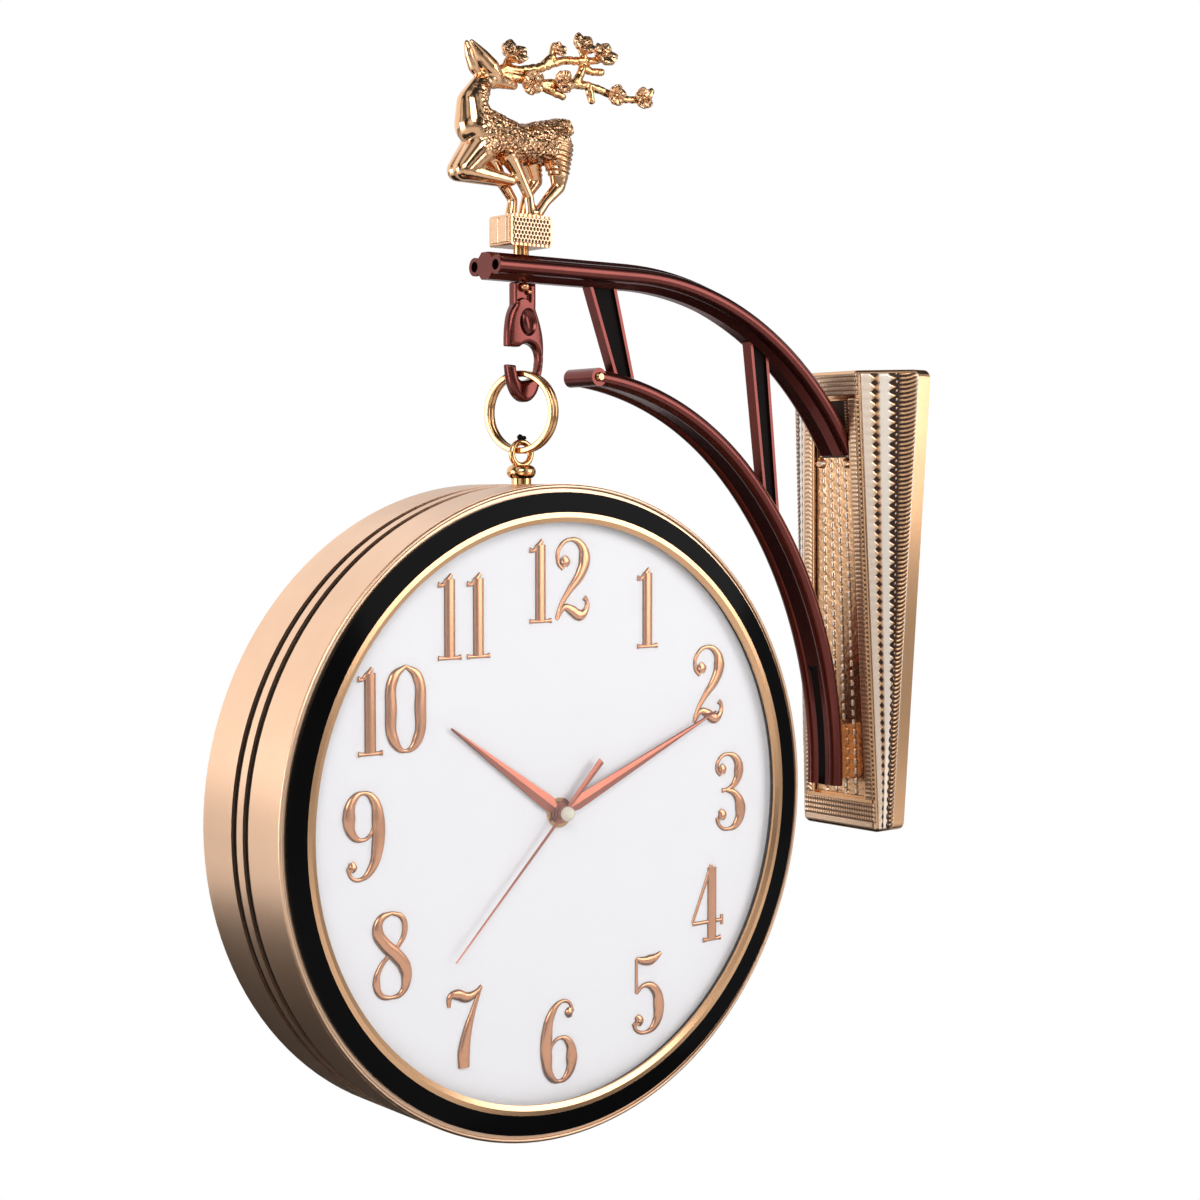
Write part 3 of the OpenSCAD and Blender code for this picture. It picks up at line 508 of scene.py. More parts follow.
# Each knot of a stroke: its place across and up, and half the stroke's width
FOOT = ".03 .022 .03, .08 .02 .02, .3 .02 .02, .35 .022 .03"
DIGITS = {
    0: digit(0.52, ".26 .985 .018, .1 .86 .06, .06 .5 .07, .1 .14 .06, .26 .015 .018, .42 .14 .06, "
                   ".46 .5 .07, .42 .86 .06, .26 .985 .018"),
    1: digit(0.38, ".19 .03 .066, .19 .5 .066, .19 .93 .066", FOOT,
             ".03 .87 .034, .08 .86 .02, .15 .91 .03, .22 .985 .02"),
    2: digit(0.53, ".15 .66 .04, .15 .72 .072, .12 .78 .04",
             ".12 .63 .02, .045 .72 .022, .08 .9 .024, .24 .985 .022, .4 .92 .048, .455 .76 .076, "
             ".39 .57 .062, .21 .36 .036, .07 .16 .022, .03 .03 .026",
             ".04 .05 .02, .14 .17 .036, .26 .13 .06, .38 .07 .066, .47 .12 .036, .49 .24 .024, "
             ".45 .28 .034"),
    3: digit(0.53, ".14 .74 .04, .14 .8 .062, .11 .85 .04",
             ".11 .72 .02, .05 .8 .022, .1 .94 .022, .25 .985 .022, .39 .91 .05, .43 .76 .07, .37 .61 .045, "
             ".24 .535 .02, .14 .52 .028",
             ".2 .53 .02, .37 .46 .046, .46 .28 .078, .41 .09 .055, .26 .015 .022, .1 .07 .022, .05 .18 .026",
             ".1 .27 .03, .14 .21 .066, .12 .15 .04"),
    4: digit(0.55, ".35 .03 .064, .35 .5 .064, .35 .95 .064", ".34 .98 .024, .18 .62 .02, .02 .27 .02",
             ".02 .25 .024, .3 .25 .022, .53 .25 .022", ".525 .19 .022, .525 .32 .022",
             ".2 .022 .03, .27 .02 .02, .44 .02 .02, .5 .022 .03"),
    5: digit(0.54, ".1 .97 .02, .18 .93 .045, .33 .92 .062, .45 .96 .034, .5 .99 .02",
             ".1 .96 .02, .1 .75 .02, .1 .53 .022",
             ".1 .53 .02, .22 .61 .026, .39 .55 .058, .465 .33 .078, .41 .1 .055, .26 .015 .022, "
             ".1 .06 .022, .05 .16 .026",
             ".1 .24 .03, .14 .18 .066, .12 .12 .04"),
    6: digit(0.54, ".43 .78 .03, .42 .84 .06, .44 .89 .03",
             ".48 .84 .02, .42 .96 .02, .3 .985 .022, .15 .86 .05, .075 .6 .074, .07 .34 .076, .13 .1 .05, "
             ".27 .015 .02, .41 .09 .05, .46 .28 .076, .41 .48 .048, .29 .545 .02, .17 .49 .02, .12 .38 .02"),
    7: digit(0.53, ".03 .8 .022, .05 .92 .036, .15 .93 .06, .29 .88 .058, .42 .92 .032, .5 .985 .02",
             ".49 .97 .018, .38 .72 .032, .29 .48 .056, .24 .24 .076, .24 .06 .07"),
    8: digit(0.52, ".26 .985 .02, .11 .93 .045, .07 .79 .066, .16 .64 .07, .31 .5 .076, .43 .35 .076, "
                   ".455 .18 .056, .39 .05 .034, .26 .015 .02, .11 .06 .034, .05 .2 .044, .09 .36 .03, "
                   ".22 .5 .022, .37 .62 .024, .44 .78 .034, .4 .92 .032, .26 .985 .02"),
}


def turned(width, strokes):
    """A digit turned upside down, which makes a nine of a six."""
    return width, [[(width - x, 1 - y, r) for x, y, r in stroke] for stroke in strokes]


DIGITS[9] = turned(*DIGITS[6])
DIGIT_GAP = 0.03
THICK_STROKE = 0.07
PUFF = 0.6


def numeral_strokes(hour):
    """All strokes of a numeral, centred on its own middle."""
    strokes = []
    along = 0
    for figure in str(hour):
        width, drawn = DIGITS[int(figure)]
        strokes += [[(x + along, y, r) for x, y, r in stroke] for stroke in drawn]
        along += width + DIGIT_GAP
    half = (along - DIGIT_GAP) / 2
    return [[(x - half, y - 0.5, r) for x, y, r in stroke] for stroke in strokes]


def numeral_mesh(settings):
    """Twelve numerals as puffed strokes, cut flat at the dial."""
    data = given(bpy.data.curves.new("numeral strokes", "CURVE"), dimensions="3D", resolution_u=7,
                 bevel_depth=1, bevel_resolution=4, use_fill_caps=True)
    size = settings.height
    for hour in range(1, 13):
        turn = math.radians(30 * hour)
        across = settings.circle * math.sin(turn)
        up = settings.circle * math.cos(turn)
        for stroke in numeral_strokes(hour):
            add_spline(data, [(x * size + across, y * size + up, r * size * settings.weight, True)
                              for x, y, r in stroke])
    bm = bmesh_of(evaluated(loose("numeral strokes", data)))
    for vert in bm.verts:
        height = vert.co.z / (THICK_STROKE * size)
        vert.co.z = settings.relief * math.copysign(min(abs(height), 1) ** PUFF, height)
    geometry = bm.verts[:] + bm.edges[:] + bm.faces[:]
    cut = bmesh.ops.bisect_plane(
        bm, geom=geometry, plane_co=(0, 0, 0), plane_no=(0, 0, 1), clear_inner=True)["geom_cut"]
    bmesh.ops.edgeloop_fill(bm, edges=[e for e in cut if isinstance(e, bmesh.types.BMEdge)])
    bmesh.ops.recalc_face_normals(bm, faces=bm.faces[:])
    # Painted shade: each stroke darkens towards the dial, where it meets it
    painted_shade = bm.verts.layers.float.new("painted_shade")
    for vert in bm.verts:
        vert[painted_shade] = 1 - step(vert.co.z, 0, 0.4 * settings.relief)
    return bm


class CLOCK_OT_numerals(bpy.types.Operator):
    """Raise the numerals on both dials"""
    bl_idname = "clock.numerals"
    bl_label = "Numerals"

    def execute(self, context):
        for name, side in SIDES.items():
            bm = numeral_mesh(context.scene.clock_numerals)
            bm.transform(facing(side, DIAL_OUT))
            piece(name + "_numerals", bm, "rose_copper", "clock")
        return {"FINISHED"}


HAND_TURNS = {"hour": 305, "minute": 67, "second": 225}
HUB = {"hour": 5.2 * MM, "minute": 4.3 * MM, "second": 3.4 * MM}
HUB_THICK = 0.8 * MM
MINUTE_COLLAR = (3.4 * MM, 1.0 * MM)
DISC_TAPER = 0.9
CAP_RISE = 0.5 * MM
HAND_FIRST = DIAL_OUT + 1.5 * MM
HAND_STEP = 1.1 * MM
# Places along a hand and half its width there, in mm; a half width of 0 stands for the hand's set width
BLADES = {
    "hour": (points("1.5 1.2, 8 0, 11 0, 76 .5"), 0.96, 0.6, 0.35),
    "minute": (points("1.5 1.2, 10 0, 14 0, 105 .45"), 0.98, 0.55, 0.35),
    "second": (points("-32 1.7, -12 1.3, -4 .8, 4 .7, 87 .3"), 1, 0.25, 0.4),
}


def hand_blade(stations, ridge, thickness):
    """A hand along +y: stations of length and half width, with a ridge down its middle."""
    bm = bmesh.new()
    rows = len(stations) - 1
    bmesh.ops.create_grid(bm, x_segments=2, y_segments=rows, size=1)
    for vert in bm.verts:
        along, half = stations[round((vert.co.y + 1) / 2 * rows)]
        top = ridge if abs(vert.co.x) < 0.5 else 0
        vert.co = Vector((vert.co.x * half, along, thickness + top))
    lower = bmesh.ops.extrude_face_region(bm, geom=bm.faces[:])["geom"]
    for vert in (g for g in lower if isinstance(g, bmesh.types.BMVert)):
        vert.co.z = 0
    bmesh.ops.recalc_face_normals(bm, faces=bm.faces[:])
    return bm


def add_disc(bm, radius, height):
    """A round collar about z."""
    bmesh.ops.create_cone(bm, cap_ends=True, segments=48, radius1=radius, radius2=radius * DISC_TAPER,
                          depth=height, matrix=moved((0, 0, height / 2)))


class CLOCK_OT_hands(bpy.types.Operator):
    """Ridged hands with stacked collars and a pearl cap"""
    bl_idname = "clock.hands"
    bl_label = "Hands"

    def blade(self, settings, kind):
        marks, narrowing, ridge, thickness = BLADES[kind]
        half = getattr(settings, kind + "_width", 0) / 2
        stations = []
        for along, set_half in marks:
            stations.append((along * MM, set_half * MM or half))
            if not set_half:
                half *= narrowing
        return hand_blade(stations, ridge * MM, thickness * MM)

    def execute(self, context):
        settings = context.scene.clock_hands
        for name, side in SIDES.items():
            for level, (kind, degrees) in enumerate(HAND_TURNS.items()):
                node = f"{name}_{kind}_hand"
                bm = self.blade(settings, kind)
                bm.transform(Matrix.Rotation(-math.radians(degrees), 4, "Z"))
                add_disc(bm, HUB[kind], HUB_THICK)
                if kind == "minute":
                    add_disc(bm, *MINUTE_COLLAR)
                outer = HAND_FIRST + level * HAND_STEP
                bm.transform(facing(side, outer))
                blade = piece(node + "_blade", bm, "hand_copper", node, smooth=False)
                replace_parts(blade, node)
                if kind == "second":
                    self.cap(settings, name, side, outer, node)
        return {"FINISHED"}

    def cap(self, settings, name, side, outer, node):
        bm = bmesh.new()
        radius = settings.pearl / 2
        add_ball(bm, radius, (0, 0, radius * 0.75), 40, 24)
        bm.transform(facing(side, outer + CAP_RISE))
        piece(name + "_pearl_cap", bm, "pearl_cap", node)


HUG_REACH = 12 * MM
SHEET_SINK = 0.3 * MM
SHEET_RISE = 0.5 * MM


def relief_sheet(name, corners, counts, pattern, hug=None):
    """A fine sheet between four corners, raised by a pattern.

    Corners run: start left, start right, end left, end right. The pattern takes the place across,
    0 to 1, and along, in metres, and gives a height in metres, its painted shade and its painted highlight.
    Its edge sinks into the part, and it may hug a part's surface tree."""
    near_left, near_right, far_left, far_right = (Vector(c) for c in corners)
    out = (near_right - near_left).cross(far_left - near_left).normalized()
    run = ((far_left + far_right) - (near_left + near_right)).length / 2
    bm = bmesh.new()
    bmesh.ops.create_grid(bm, x_segments=counts[0], y_segments=counts[1], size=0.5)
    for word in ("painted_shade", "pale"):
        bm.verts.layers.float.new(word)
    painted_shade, pale = (bm.verts.layers.float[word] for word in ("painted_shade", "pale"))
    for vert in bm.verts:
        across, along = vert.co.x + 0.5, vert.co.y + 0.5
        place = near_left.lerp(near_right, across).lerp(far_left.lerp(far_right, across), along)
        height, vert[painted_shade], vert[pale] = pattern(across, along * run)
        edge = min(across, along, 1 - across, 1 - along) < 0.001
        if hug:
            place = hug.ray_cast(place + out * HUG_REACH, -out)[0] or place
        vert.co = place + out * (-SHEET_SINK if edge else SHEET_RISE + height)
    return piece(name, bm, "relief_gold", "bracket")


# Bands of the plate's slopes, as shares of the way from the panel's edge out to the rim; the pale and white
# bands get painted highlight
PALE_BAND = (0.02, 0.2)
DIAMONDS = 0.26
WHITE_BAND = (0.33, 0.53)
TEETH = (0.5, 0.68)
STUDS = 0.63
RIBS = (0.66, 0.955)
OUTER_LINE = 0.965
PLATE_INSET = 1.6 * MM
EDGE_INSET = 1.2 * MM
BACK_INSET = 0.2 * MM
BAND_SHARE = 0.96
STRIP_SHARE = 0.97
ROPE_ROW = 2.4 * MM
BEAD_ROW = 2.6 * MM
BEVEL = 4 * MM


class CLOCK_OT_plate(bpy.types.Operator):
    """Raised scales, diamonds, ribs and beads on the wall plate, with painted shade in their hollows and
    painted highlight on their crests and bands
    """
    bl_idname = "clock.plate"
    bl_label = "Wall plate relief"

    def execute(self, context):
        plate = context.scene.clock_plate
        self.pitch, self.rise = plate.pitch, plate.relief
        node = frame["nodes"]["wall_plate"]
        tree = BVHTree.FromPolygons([v.co for v in node.data.vertices],
                                    [p.vertices for p in node.data.polygons])
        low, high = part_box("wall_plate")
        top, foot = high.z, low.z
        top_out, foot_out = -low.x, plate.panel_foot_out
        panel_top, panel_foot = plate.panel_top_width / 2, plate.panel_foot_width / 2
        inset = PLATE_INSET

        def panel_at(y, z):
            return Vector((-top_out + (top_out - foot_out) * (top - z) / (top - foot), y, z))

        def panel(y_share, z):
            """A place on the panel: -1 and 1 are its edges."""
            return panel_at(y_share * (panel_top + (panel_foot - panel_top) * (top - z) / (top - foot)), z)

        def slope_end(side, half_back, half_panel, out, z):
            return [Vector((-plate.rim, side * (half_back - BACK_INSET), z)),
                    Vector((EDGE_INSET - out, side * (half_panel - EDGE_INSET / 2), z))]

        field_ends = ((plate.field_foot, plate.field_foot_width, 1),
                      (plate.field_top, plate.field_top_width, -1))
        for word, side in (("near", -1), ("far", 1)):
            corners = (slope_end(side, plate.foot_width / 2, panel_foot, foot_out, foot + inset)
                       + slope_end(side, high.y, panel_top, top_out, top - inset))
            strip = []
            for z, width, _ in field_ends:
                strip += [panel(side * STRIP_SHARE, z), panel_at(side * (width + inset) / 2, z)]
            if side < 0:
                corners, strip = ([c[i] for i in (1, 0, 3, 2)] for c in (corners, strip))
            relief_sheet(f"slope_relief_{word}", corners, (54, 700), self.slope(side), tree)
            relief_sheet(f"scale_strip_{word}", strip, (16, 560), self.scales(side), tree)
        for word, low_z, high_z, pattern in (("head", plate.field_top + inset, top - inset, self.ropes),
                                             ("foot", foot + inset, plate.field_foot - inset, self.beads)):
            band = [panel(edge * BAND_SHARE, z) for z in (low_z, high_z) for edge in (1, -1)]
            relief_sheet(f"{word}_band", band, (180, 42), pattern, tree)
        self.slot_from = plate.slot - plate.field_foot
        field = [panel_at(edge * (width / 2 - BACK_INSET), z + up * inset / 2)
                 for z, width, up in field_ends for edge in (1, -1)]
        relief_sheet("field_relief", field, (60, 560), self.hammered, tree)
        return {"FINISHED"}

    def slope(self, side):
        """Pale band, diamonds, white band, teeth and curved ribs, from the panel's edge out to the rim: the
        pale and white bands, the studs and the outer line get painted highlight, the diamonds, teeth and rib
        grooves painted shade.
        """
        def pattern(across, along):
            u = across if side < 0 else 1 - across
            cell = along / self.pitch
            here = cell % 1 - 0.5
            diamond = step(1 - (abs(u - DIAMONDS) / 0.075 + abs(here) / 0.42), -0.1, 0.12)
            tooth_width = 0.14 + 0.5 * (u - TEETH[0]) / 0.16
            stud = step(0.13 - math.hypot((u - STUDS) / 0.09, (here - 0.1) * 1.1), -0.05, 0.05)
            tooth = inside(u, *TEETH) * step(tooth_width - abs(here), -0.05, 0.05) * (1 - stud)
            bow = u - RIBS[0]
            rib = inside(u, *RIBS)
            comb = wave(2 * (cell - 6.6 * bow ** 2 + 0.6 * bow))
            groove = rib * step(0.6 - comb, -0.12, 0.14) * (1.2 - 0.35 * bow / 0.3)
            painted_shade = max(diamond, tooth, groove)
            pale = 0.55 * inside(u, *PALE_BAND) + 0.75 * inside(u, *WHITE_BAND)
            pale = max(pale * (1 - painted_shade), stud * 0.8 * inside(u, 0.53, 0.7), inside(u, OUTER_LINE, 1.0))
            height = (0.25 + 0.12 * wave(cell) * inside(u, 0.05, 0.2) + rib * (comb - 0.35)
                      - 0.8 * max(diamond, 0.8 * tooth) + 0.4 * inside(u, 0.0, 0.025)
                      + 0.5 * inside(u, OUTER_LINE, 1.1))
            return self.rise * height, min(painted_shade, 1.0), min(pale, 1.0)
        return pattern

    def scales(self, side):
        """Stacked arcs with a dotted edge beside the sunk field, with painted shade between the arcs and in
        the dots and painted highlight on the arcs.
        """
        def pattern(across, along):
            u = across if side > 0 else 1 - across
            bow = 0.9 if side > 0 else 0.1
            arc = wave(along / (0.52 * self.pitch) + bow * (2 * u - 1) ** 2)
            dots = inside(u, 0.02, 0.16, 0.05) * step(0.62 - wave(along / (0.55 * self.pitch)), -0.2, 0.2)
            body = inside(u, 0.22, 0.92, 0.04)
            painted_shade = max(0.6 * body * step(0.25 - arc, -0.12, 0.12), dots)
            return self.rise * (0.15 + 0.45 * arc * body - 0.4 * dots), painted_shade, 0.25 * body * arc
        return pattern

    def ropes(self, across, along):
        """Rows of dashes over the field, slanted this way and that, with painted shade between the dashes and
        painted highlight on them.
        """
        row = along / ROPE_ROW
        here = row % 1
        slant = across * 36 + (0.8 * here if int(row) % 2 else -0.8 * here)
        dash = wave(slant) * inside(here, 0.16, 0.86, 0.1)
        return self.rise * (0.1 + 0.6 * dash), 0.75 * step(0.26 - dash, -0.1, 0.16), 0.4 * dash

    def beads(self, across, along):
        """Rows of beads over a smooth bevel, with painted shade between the beads and painted highlight on
        them and on the bevel.
        """
        row = (along - BEVEL) / BEAD_ROW
        if row < 0:
            return self.rise * 0.3, 0.0, 0.25
        ball = max(0.0, 1 - 4 * ((row % 1 - 0.5) ** 2 + (across * 30 % 1 - 0.5) ** 2))
        return self.rise * (0.05 + 0.9 * ball), 0.8 * step(0.2 - ball, -0.1, 0.14), 0.3 * ball

    def hammered(self, across, along):
        """Four broken upright lines of raised dashes with painted highlight on them, painted shade in their
        pits and along the field's edges and a little random darkening, under a slot of painted shade with a
        beaded line on each side.
        """
        if along > self.slot_from:
            bead = inside(abs(across - 0.5), 0.36, 0.42, 0.02) * wave(along / PLATE_INSET)
            return self.rise * bead, 1 - bead, 0.0
        if abs(across - 0.5) > 0.47:
            return 0.0, 1.0, 0.0
        lane = across * 5 + 0.5
        here = lane % 1 - 0.5
        shift = 0.5 if int(lane) % 2 else 0.0
        dash_at = abs((along / (1.15 * self.pitch) + shift) % 1 - 0.5)
        dash = (1 - step(abs(here), 0.07, 0.17)) * (1 - step(dash_at, 0.2, 0.34))
        pit = (1 - step(abs(here - 0.12), 0.05, 0.13)) * (1 - step(abs(dash_at - 0.46), 0.05, 0.12))
        grain = noise.noise(Vector((across * 16, along / (1.3 * MM), 0.5)))
        return self.rise * (0.1 + 0.9 * dash + 0.18 * grain), 0.9 * pit + 0.15 * max(0, grain), 0.7 * dash


# Places of the figure: shares of its height along and up from the middle of the base's top, then a radius
LEG_SPREAD = 0.05
# Runs of the deer: how far off the middle plane, as a share of LEG_SPREAD, then the places
DEER_CHAINS = [(points(run), LEG_SPREAD * aside) for aside, run in (
    (0, "-.25 .42 .12, -.02 .37 .1, .18 .41 .11"),  # body
    (0, "-.29 .44 .105, -.305 .55 .08, -.25 .65 .055"),  # neck
    (0, "-.2 .69 .055, -.13 .685 .04, -.045 .672 .024"),  # head
    (0, ".19 .475 .05, .255 .51 .026, .305 .515 .024, .318 .475 .024, .285 .455 .02"),  # tail
    (0.5, "-.225 .7 .03, -.265 .745 .04, -.295 .8 .032, -.32 .86 .014"),  # ears
    (-0.5, "-.165 .7 .034, -.21 .74 .05, -.265 .79 .04, -.325 .855 .014"),
    (-0.6, "-.24 .35 .09, -.375 .205 .056, -.08 .175 .028"),  # bent legs
    (0.6, "-.24 .35 .09, -.375 .205 .056, -.08 .175 .028"),
    (-0.6, "-.1 .3 .05, -.035 .21 .032, .03 .1 .026, .04 .015 .03"),  # fore legs
    (1, "-.17 .3 .05, -.075 .165 .031, -.015 .09 .026, -.025 .015 .032"),
    (-1, ".185 .37 .095, .21 .235 .052, .205 .165 .036, .12 .08 .027, .07 .015 .03"),  # hind legs
    (1, ".09 .33 .065, .135 .2 .036, .075 .12 .026, .05 .015 .028"))]
BRANCHES = [points(run) for run in (
    "-.18 .715, -.1 .751, .003 .755, .14 .79, .273 .844, .418 .858, .503 .873, .534 .906",
    "-.18 .715, -.02 .715, .108 .7, .19 .712, .345 .726, .442 .732, .54 .715, .664 .687, .802 .7, .878 .755",
    ".108 .7, .2 .675, .273 .651",
    ".345 .726, .382 .773, .406 .823, .47 .808, .534 .815",
    ".442 .732, .467 .654",
    ".14 .79, .2 .85, .22 .913",
    "-.1 .751, -.06 .83",
    ".418 .858, .394 .935")]
BRANCH_THICK = 0.027
BRANCH_THIN = 0.019
# Blossoms: along, up, radius and tilt in degrees
BLOSSOMS = points(
    "-.06 .83 .075 40, .055 .7 .066 -15, .262 .725 .06 5, .235 .89 .04 25, "
    ".394 .935 .066 35, .534 .9 .07 30, .614 .7 .055 -10, .802 .705 .058 0")
BLOSSOM_FRONT = 0.022
# The blossoms' share of stipple, with its painted shade in the pits
BLOSSOM_COAT = 0.5
PETALS = 5
STAMENS = 8
FIGURE_STRETCH = 1.025
RIB_SHARE = 0.024
RIB_RISE = 1.1 * MM
FUR_RISE = 0.5 * MM
BARK_RISE = 0.35 * MM
DENT_ROW = 1.9 * MM
BASE_INSET = 1.2 * MM


def share_point(place, height, drop=0.0):
    """A place of the figure, given as shares of its height from the middle of the base's top."""
    return FIGURE_FOOT + Vector((place[0] * height * FIGURE_STRETCH, drop, place[1] * height))


def add_limb(bm, start, end, radius_start, radius_end):
    """A tapered round limb with round ends."""
    for centre, radius in ((start, radius_start), (end, radius_end)):
        bmesh.ops.create_icosphere(bm, subdivisions=3, radius=radius, matrix=moved(centre))
    run = end - start
    turn = run.to_track_quat("Z", "Y").to_matrix().to_4x4()
    lean = max(-0.95, min(0.95, (radius_start - radius_end) / run.length))
    slim = math.sqrt(1 - lean * lean)
    low = start + run.normalized() * radius_start * lean
    high = end + run.normalized() * radius_end * lean
    bmesh.ops.create_cone(
        bm, cap_ends=True, segments=32, radius1=radius_start * slim, radius2=radius_end * slim,
        depth=(high - low).length, matrix=moved((low + high) / 2) @ turn)


def figure(name, bm, voxel, rounds):
    """A cast figure as a bmesh, ready to be roughened along its normals."""
    bm = bmesh_of(cast(loose(name, bm), voxel, rounds))
    bmesh.ops.recalc_face_normals(bm, faces=bm.faces[:])
    bm.normal_update()
    return bm


class CLOCK_OT_ornament(bpy.types.Operator):
    """Cast deer with flowering antlers on its knurled base"""
    bl_idname = "clock.ornament"
    bl_label = "Ornament"

    def execute(self, context):
        ornament = context.scene.clock_ornament
        self.deer(ornament.height, ornament.voxel)
        self.branches(ornament.height, ornament.voxel * 0.75)
        self.blossoms(ornament.height)
        self.knurling()
        return {"FINISHED"}

    def deer(self, tall, voxel):
        """The deer, with ribbed thighs and rough fur on its neck and body."""
        bm = bmesh.new()
        for chain, drop in DEER_CHAINS:
            for a, b in zip(chain, chain[1:]):
                add_limb(bm, share_point(a, tall, drop * tall), share_point(b, tall, drop * tall),
                         a[2] * tall, b[2] * tall)
        bm = figure("deer cast", bm, voxel, 7)
        coat = bm.verts.layers.float.new("coat")
        for vert in bm.verts:
            x = (vert.co.x - FIGURE_FOOT.x) / tall / FIGURE_STRETCH
            z = (vert.co.z - FIGURE_FOOT.z) / tall
            thigh = step(x, 0.13, 0.17) * inside(z, 0.225, 0.4, 0.012)
            fur = step(x, -0.33, -0.25) * step(z, 0.28, 0.32) * (1 - step(z, 0.62, 0.66)) * (1 - thigh)
            # The fur gets stipple bumps and painted shade in the pits from cast_gold
            vert[coat] = fur
            ribs = wave((z + 0.2 * x) / RIB_SHARE) - 0.6
            vert.co += vert.normal * (thigh * ribs * RIB_RISE)
            vert.co += vert.normal * (fur * noise.noise(vert.co * 620) * FUR_RISE)
            if z < 0.004:
                vert.co.z = FIGURE_FOOT.z + 0.05 * MM
        made = piece("deer_cast", bm, "cast_gold", "bracket")
        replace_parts(made, "deer")

    def branches(self, tall, voxel):
        bm = bmesh.new()
        for run in BRANCHES:
            last = len(run) - 1
            radii = [tall * (BRANCH_THICK + (BRANCH_THIN - BRANCH_THICK) * max(i / last, p[0]))
                     for i, p in enumerate(run)]
            for i, (a, b) in enumerate(zip(run, run[1:])):
                add_limb(bm, share_point(a, tall), share_point(b, tall), radii[i], radii[i + 1])
        bm = figure("branch cast", bm, voxel, 4)
        for vert in bm.verts:
            vert.co += vert.normal * (noise.noise(vert.co * 500) * BARK_RISE)
        made = piece("branch_cast", bm, "bright_gold", "bracket")
        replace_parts(made, "antler_branch")

    def blossoms(self, tall):
        bm = bmesh.new()
        for count, (x, z, radius, tilt) in enumerate(BLOSSOMS):
            flower = bmesh.new()
            self.blossom(flower, radius * tall)
            turn = (Matrix.Rotation(math.radians(90 - tilt), 4, "X")
                    @ Matrix.Rotation(math.radians(23 * count), 4, "Z"))
            centre = share_point((x, z), tall, -BLOSSOM_FRONT * tall)
            flower.transform(moved(centre) @ turn)
            coat = flower.verts.layers.float.new("coat")
            for vert in flower.verts:
                vert[coat] = BLOSSOM_COAT
            mesh = mesh_of("blossom", flower)
            bm.from_mesh(mesh)
            bpy.data.meshes.remove(mesh)
        made = piece("blossom_casts", bm, "cast_gold", "bracket")
        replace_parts(made, "blossoms")

    def blossom(self, bm, radius):
        """Cupped, crinkled petals round a cluster of stamens, facing +z."""
        for i in range(PETALS):
            turn = Matrix.Rotation(2 * math.pi * i / PETALS + math.pi / 2, 4, "Z")
            for vert in add_ball(bm, 1, (0, 0, 0), 20, 14):
                out = vert.co.x
                cup = 0.16 * (out + 0.4) ** 2
                fold = 0.045 * math.cos(11 * math.atan2(vert.co.y, vert.co.x + 1.2)) * (0.4 + 0.6 * abs(out))
                local = Vector((0.62 + 0.42 * out, 0.5 * vert.co.y * (1.05 + 0.2 * out),
                                0.34 * vert.co.z + cup + fold))
                vert.co = turn @ (local * radius)
        add_ball(bm, 0.2 * radius, (0, 0, 0.18 * radius), 16, 10)
        for i in range(STAMENS):
            turn = 2 * math.pi * i / STAMENS
            place = Vector((math.cos(turn), math.sin(turn), 1)) * 0.26 * radius
            bmesh.ops.create_icosphere(bm, subdivisions=2, radius=0.06 * radius, matrix=moved(place))

    def knurling(self):
        """Rows of small oval dents on the base's long faces, and lines on its ends, with painted shade in the
        dents, the grooves and on the lines and a faint painted highlight elsewhere.
        """
        def dents(across, along):
            row = along / DENT_ROW
            here = (across * 11 + (0.5 if int(row) % 2 else 0.0)) % 1 - 0.5
            dent = step(1 - math.hypot(here / 0.36, (row % 1 - 0.5) / 0.42), -0.1, 0.4)
            return (0.3 - 0.6 * dent) * MM, dent, 0.12 * (1 - dent)

        def lines(across, along):
            grain = noise.noise(Vector((across * 9, along / MM, 0)))
            panel = inside(across, 0.04, 0.42) * (0.5 + 0.5 * grain)
            line = inside(across, 0.82, 0.98) * wave(across * 16)
            groove = max(0, 1 - min(1, abs(across - 0.46) / 0.02))
            return (0.2 * panel + 0.3 * line - 0.3 * groove) * MM, 0.5 * groove + 0.35 * line, 0.12

        low = BASE_LOW + Vector((1, 1, 1)) * BASE_INSET
        high = BASE_HIGH - Vector((1, 1, 1)) * BASE_INSET
        for name, left, right, counts, pattern in (
                ("knurling_near", (low.x, BASE_LOW.y), (high.x, BASE_LOW.y), (120, 64), dents),
                ("knurling_far", (high.x, BASE_HIGH.y), (low.x, BASE_HIGH.y), (120, 64), dents),
                ("base_end_left", (BASE_LOW.x, high.y), (BASE_LOW.x, low.y), (90, 40), lines),
                ("base_end_right", (BASE_HIGH.x, low.y), (BASE_HIGH.x, high.y), (90, 40), lines)):
            corners = [(*side, z) for z in (low.z, high.z) for side in (left, right)]
            relief_sheet(name, corners, counts, pattern)


# Outlines in mm from the ring's seat in the hook: x, z, and 1 for a soft corner
HOOK_OUTLINE = points(
    "-5.3 45.4 0, -5.3 35.1 0, -7.4 31.5 1, -8.8 26.2 1, -9.4 19.5 1, -9.4 15.4 0, -2.4 15.3 0, .6 16.8 1, "
    "4.1 16.7 1, 7.3 14.8 1, 8.7 11.6 1, 8.8 8 1, 7.9 4.2 1, 5.2 1.2 1, 1.6 -.1 1, -2.2 .1 1, -3.8 2.5 1, "
    "-4.5 6.8 0, -9.3 7 0, -8.7 2.6 1, -6.8 -4 1, -3 -8.8 1, 1.6 -10.4 1, 6.2 -8 1, 9.5 -2.4 1, 11 4 1, "
    "11.9 10.6 1, 12.1 15.6 1, 11.6 20.6 1, 10.4 25.2 1, 8.8 29.4 1, 7 33.4 0, 7 45.4 0")
HOOK_POCKET = points(
    "-4.4 46 0, -4.4 36.2 0, -2.6 37.4 1, -.6 37.9 1, 1.4 37.3 1, 3.2 35.8 0, 3.2 46 0")
HOOK_HEIGHT = 45.7 * MM
HOOK_EDGE = 2.2 * MM
HOOK_DETAIL = 0.28 * MM
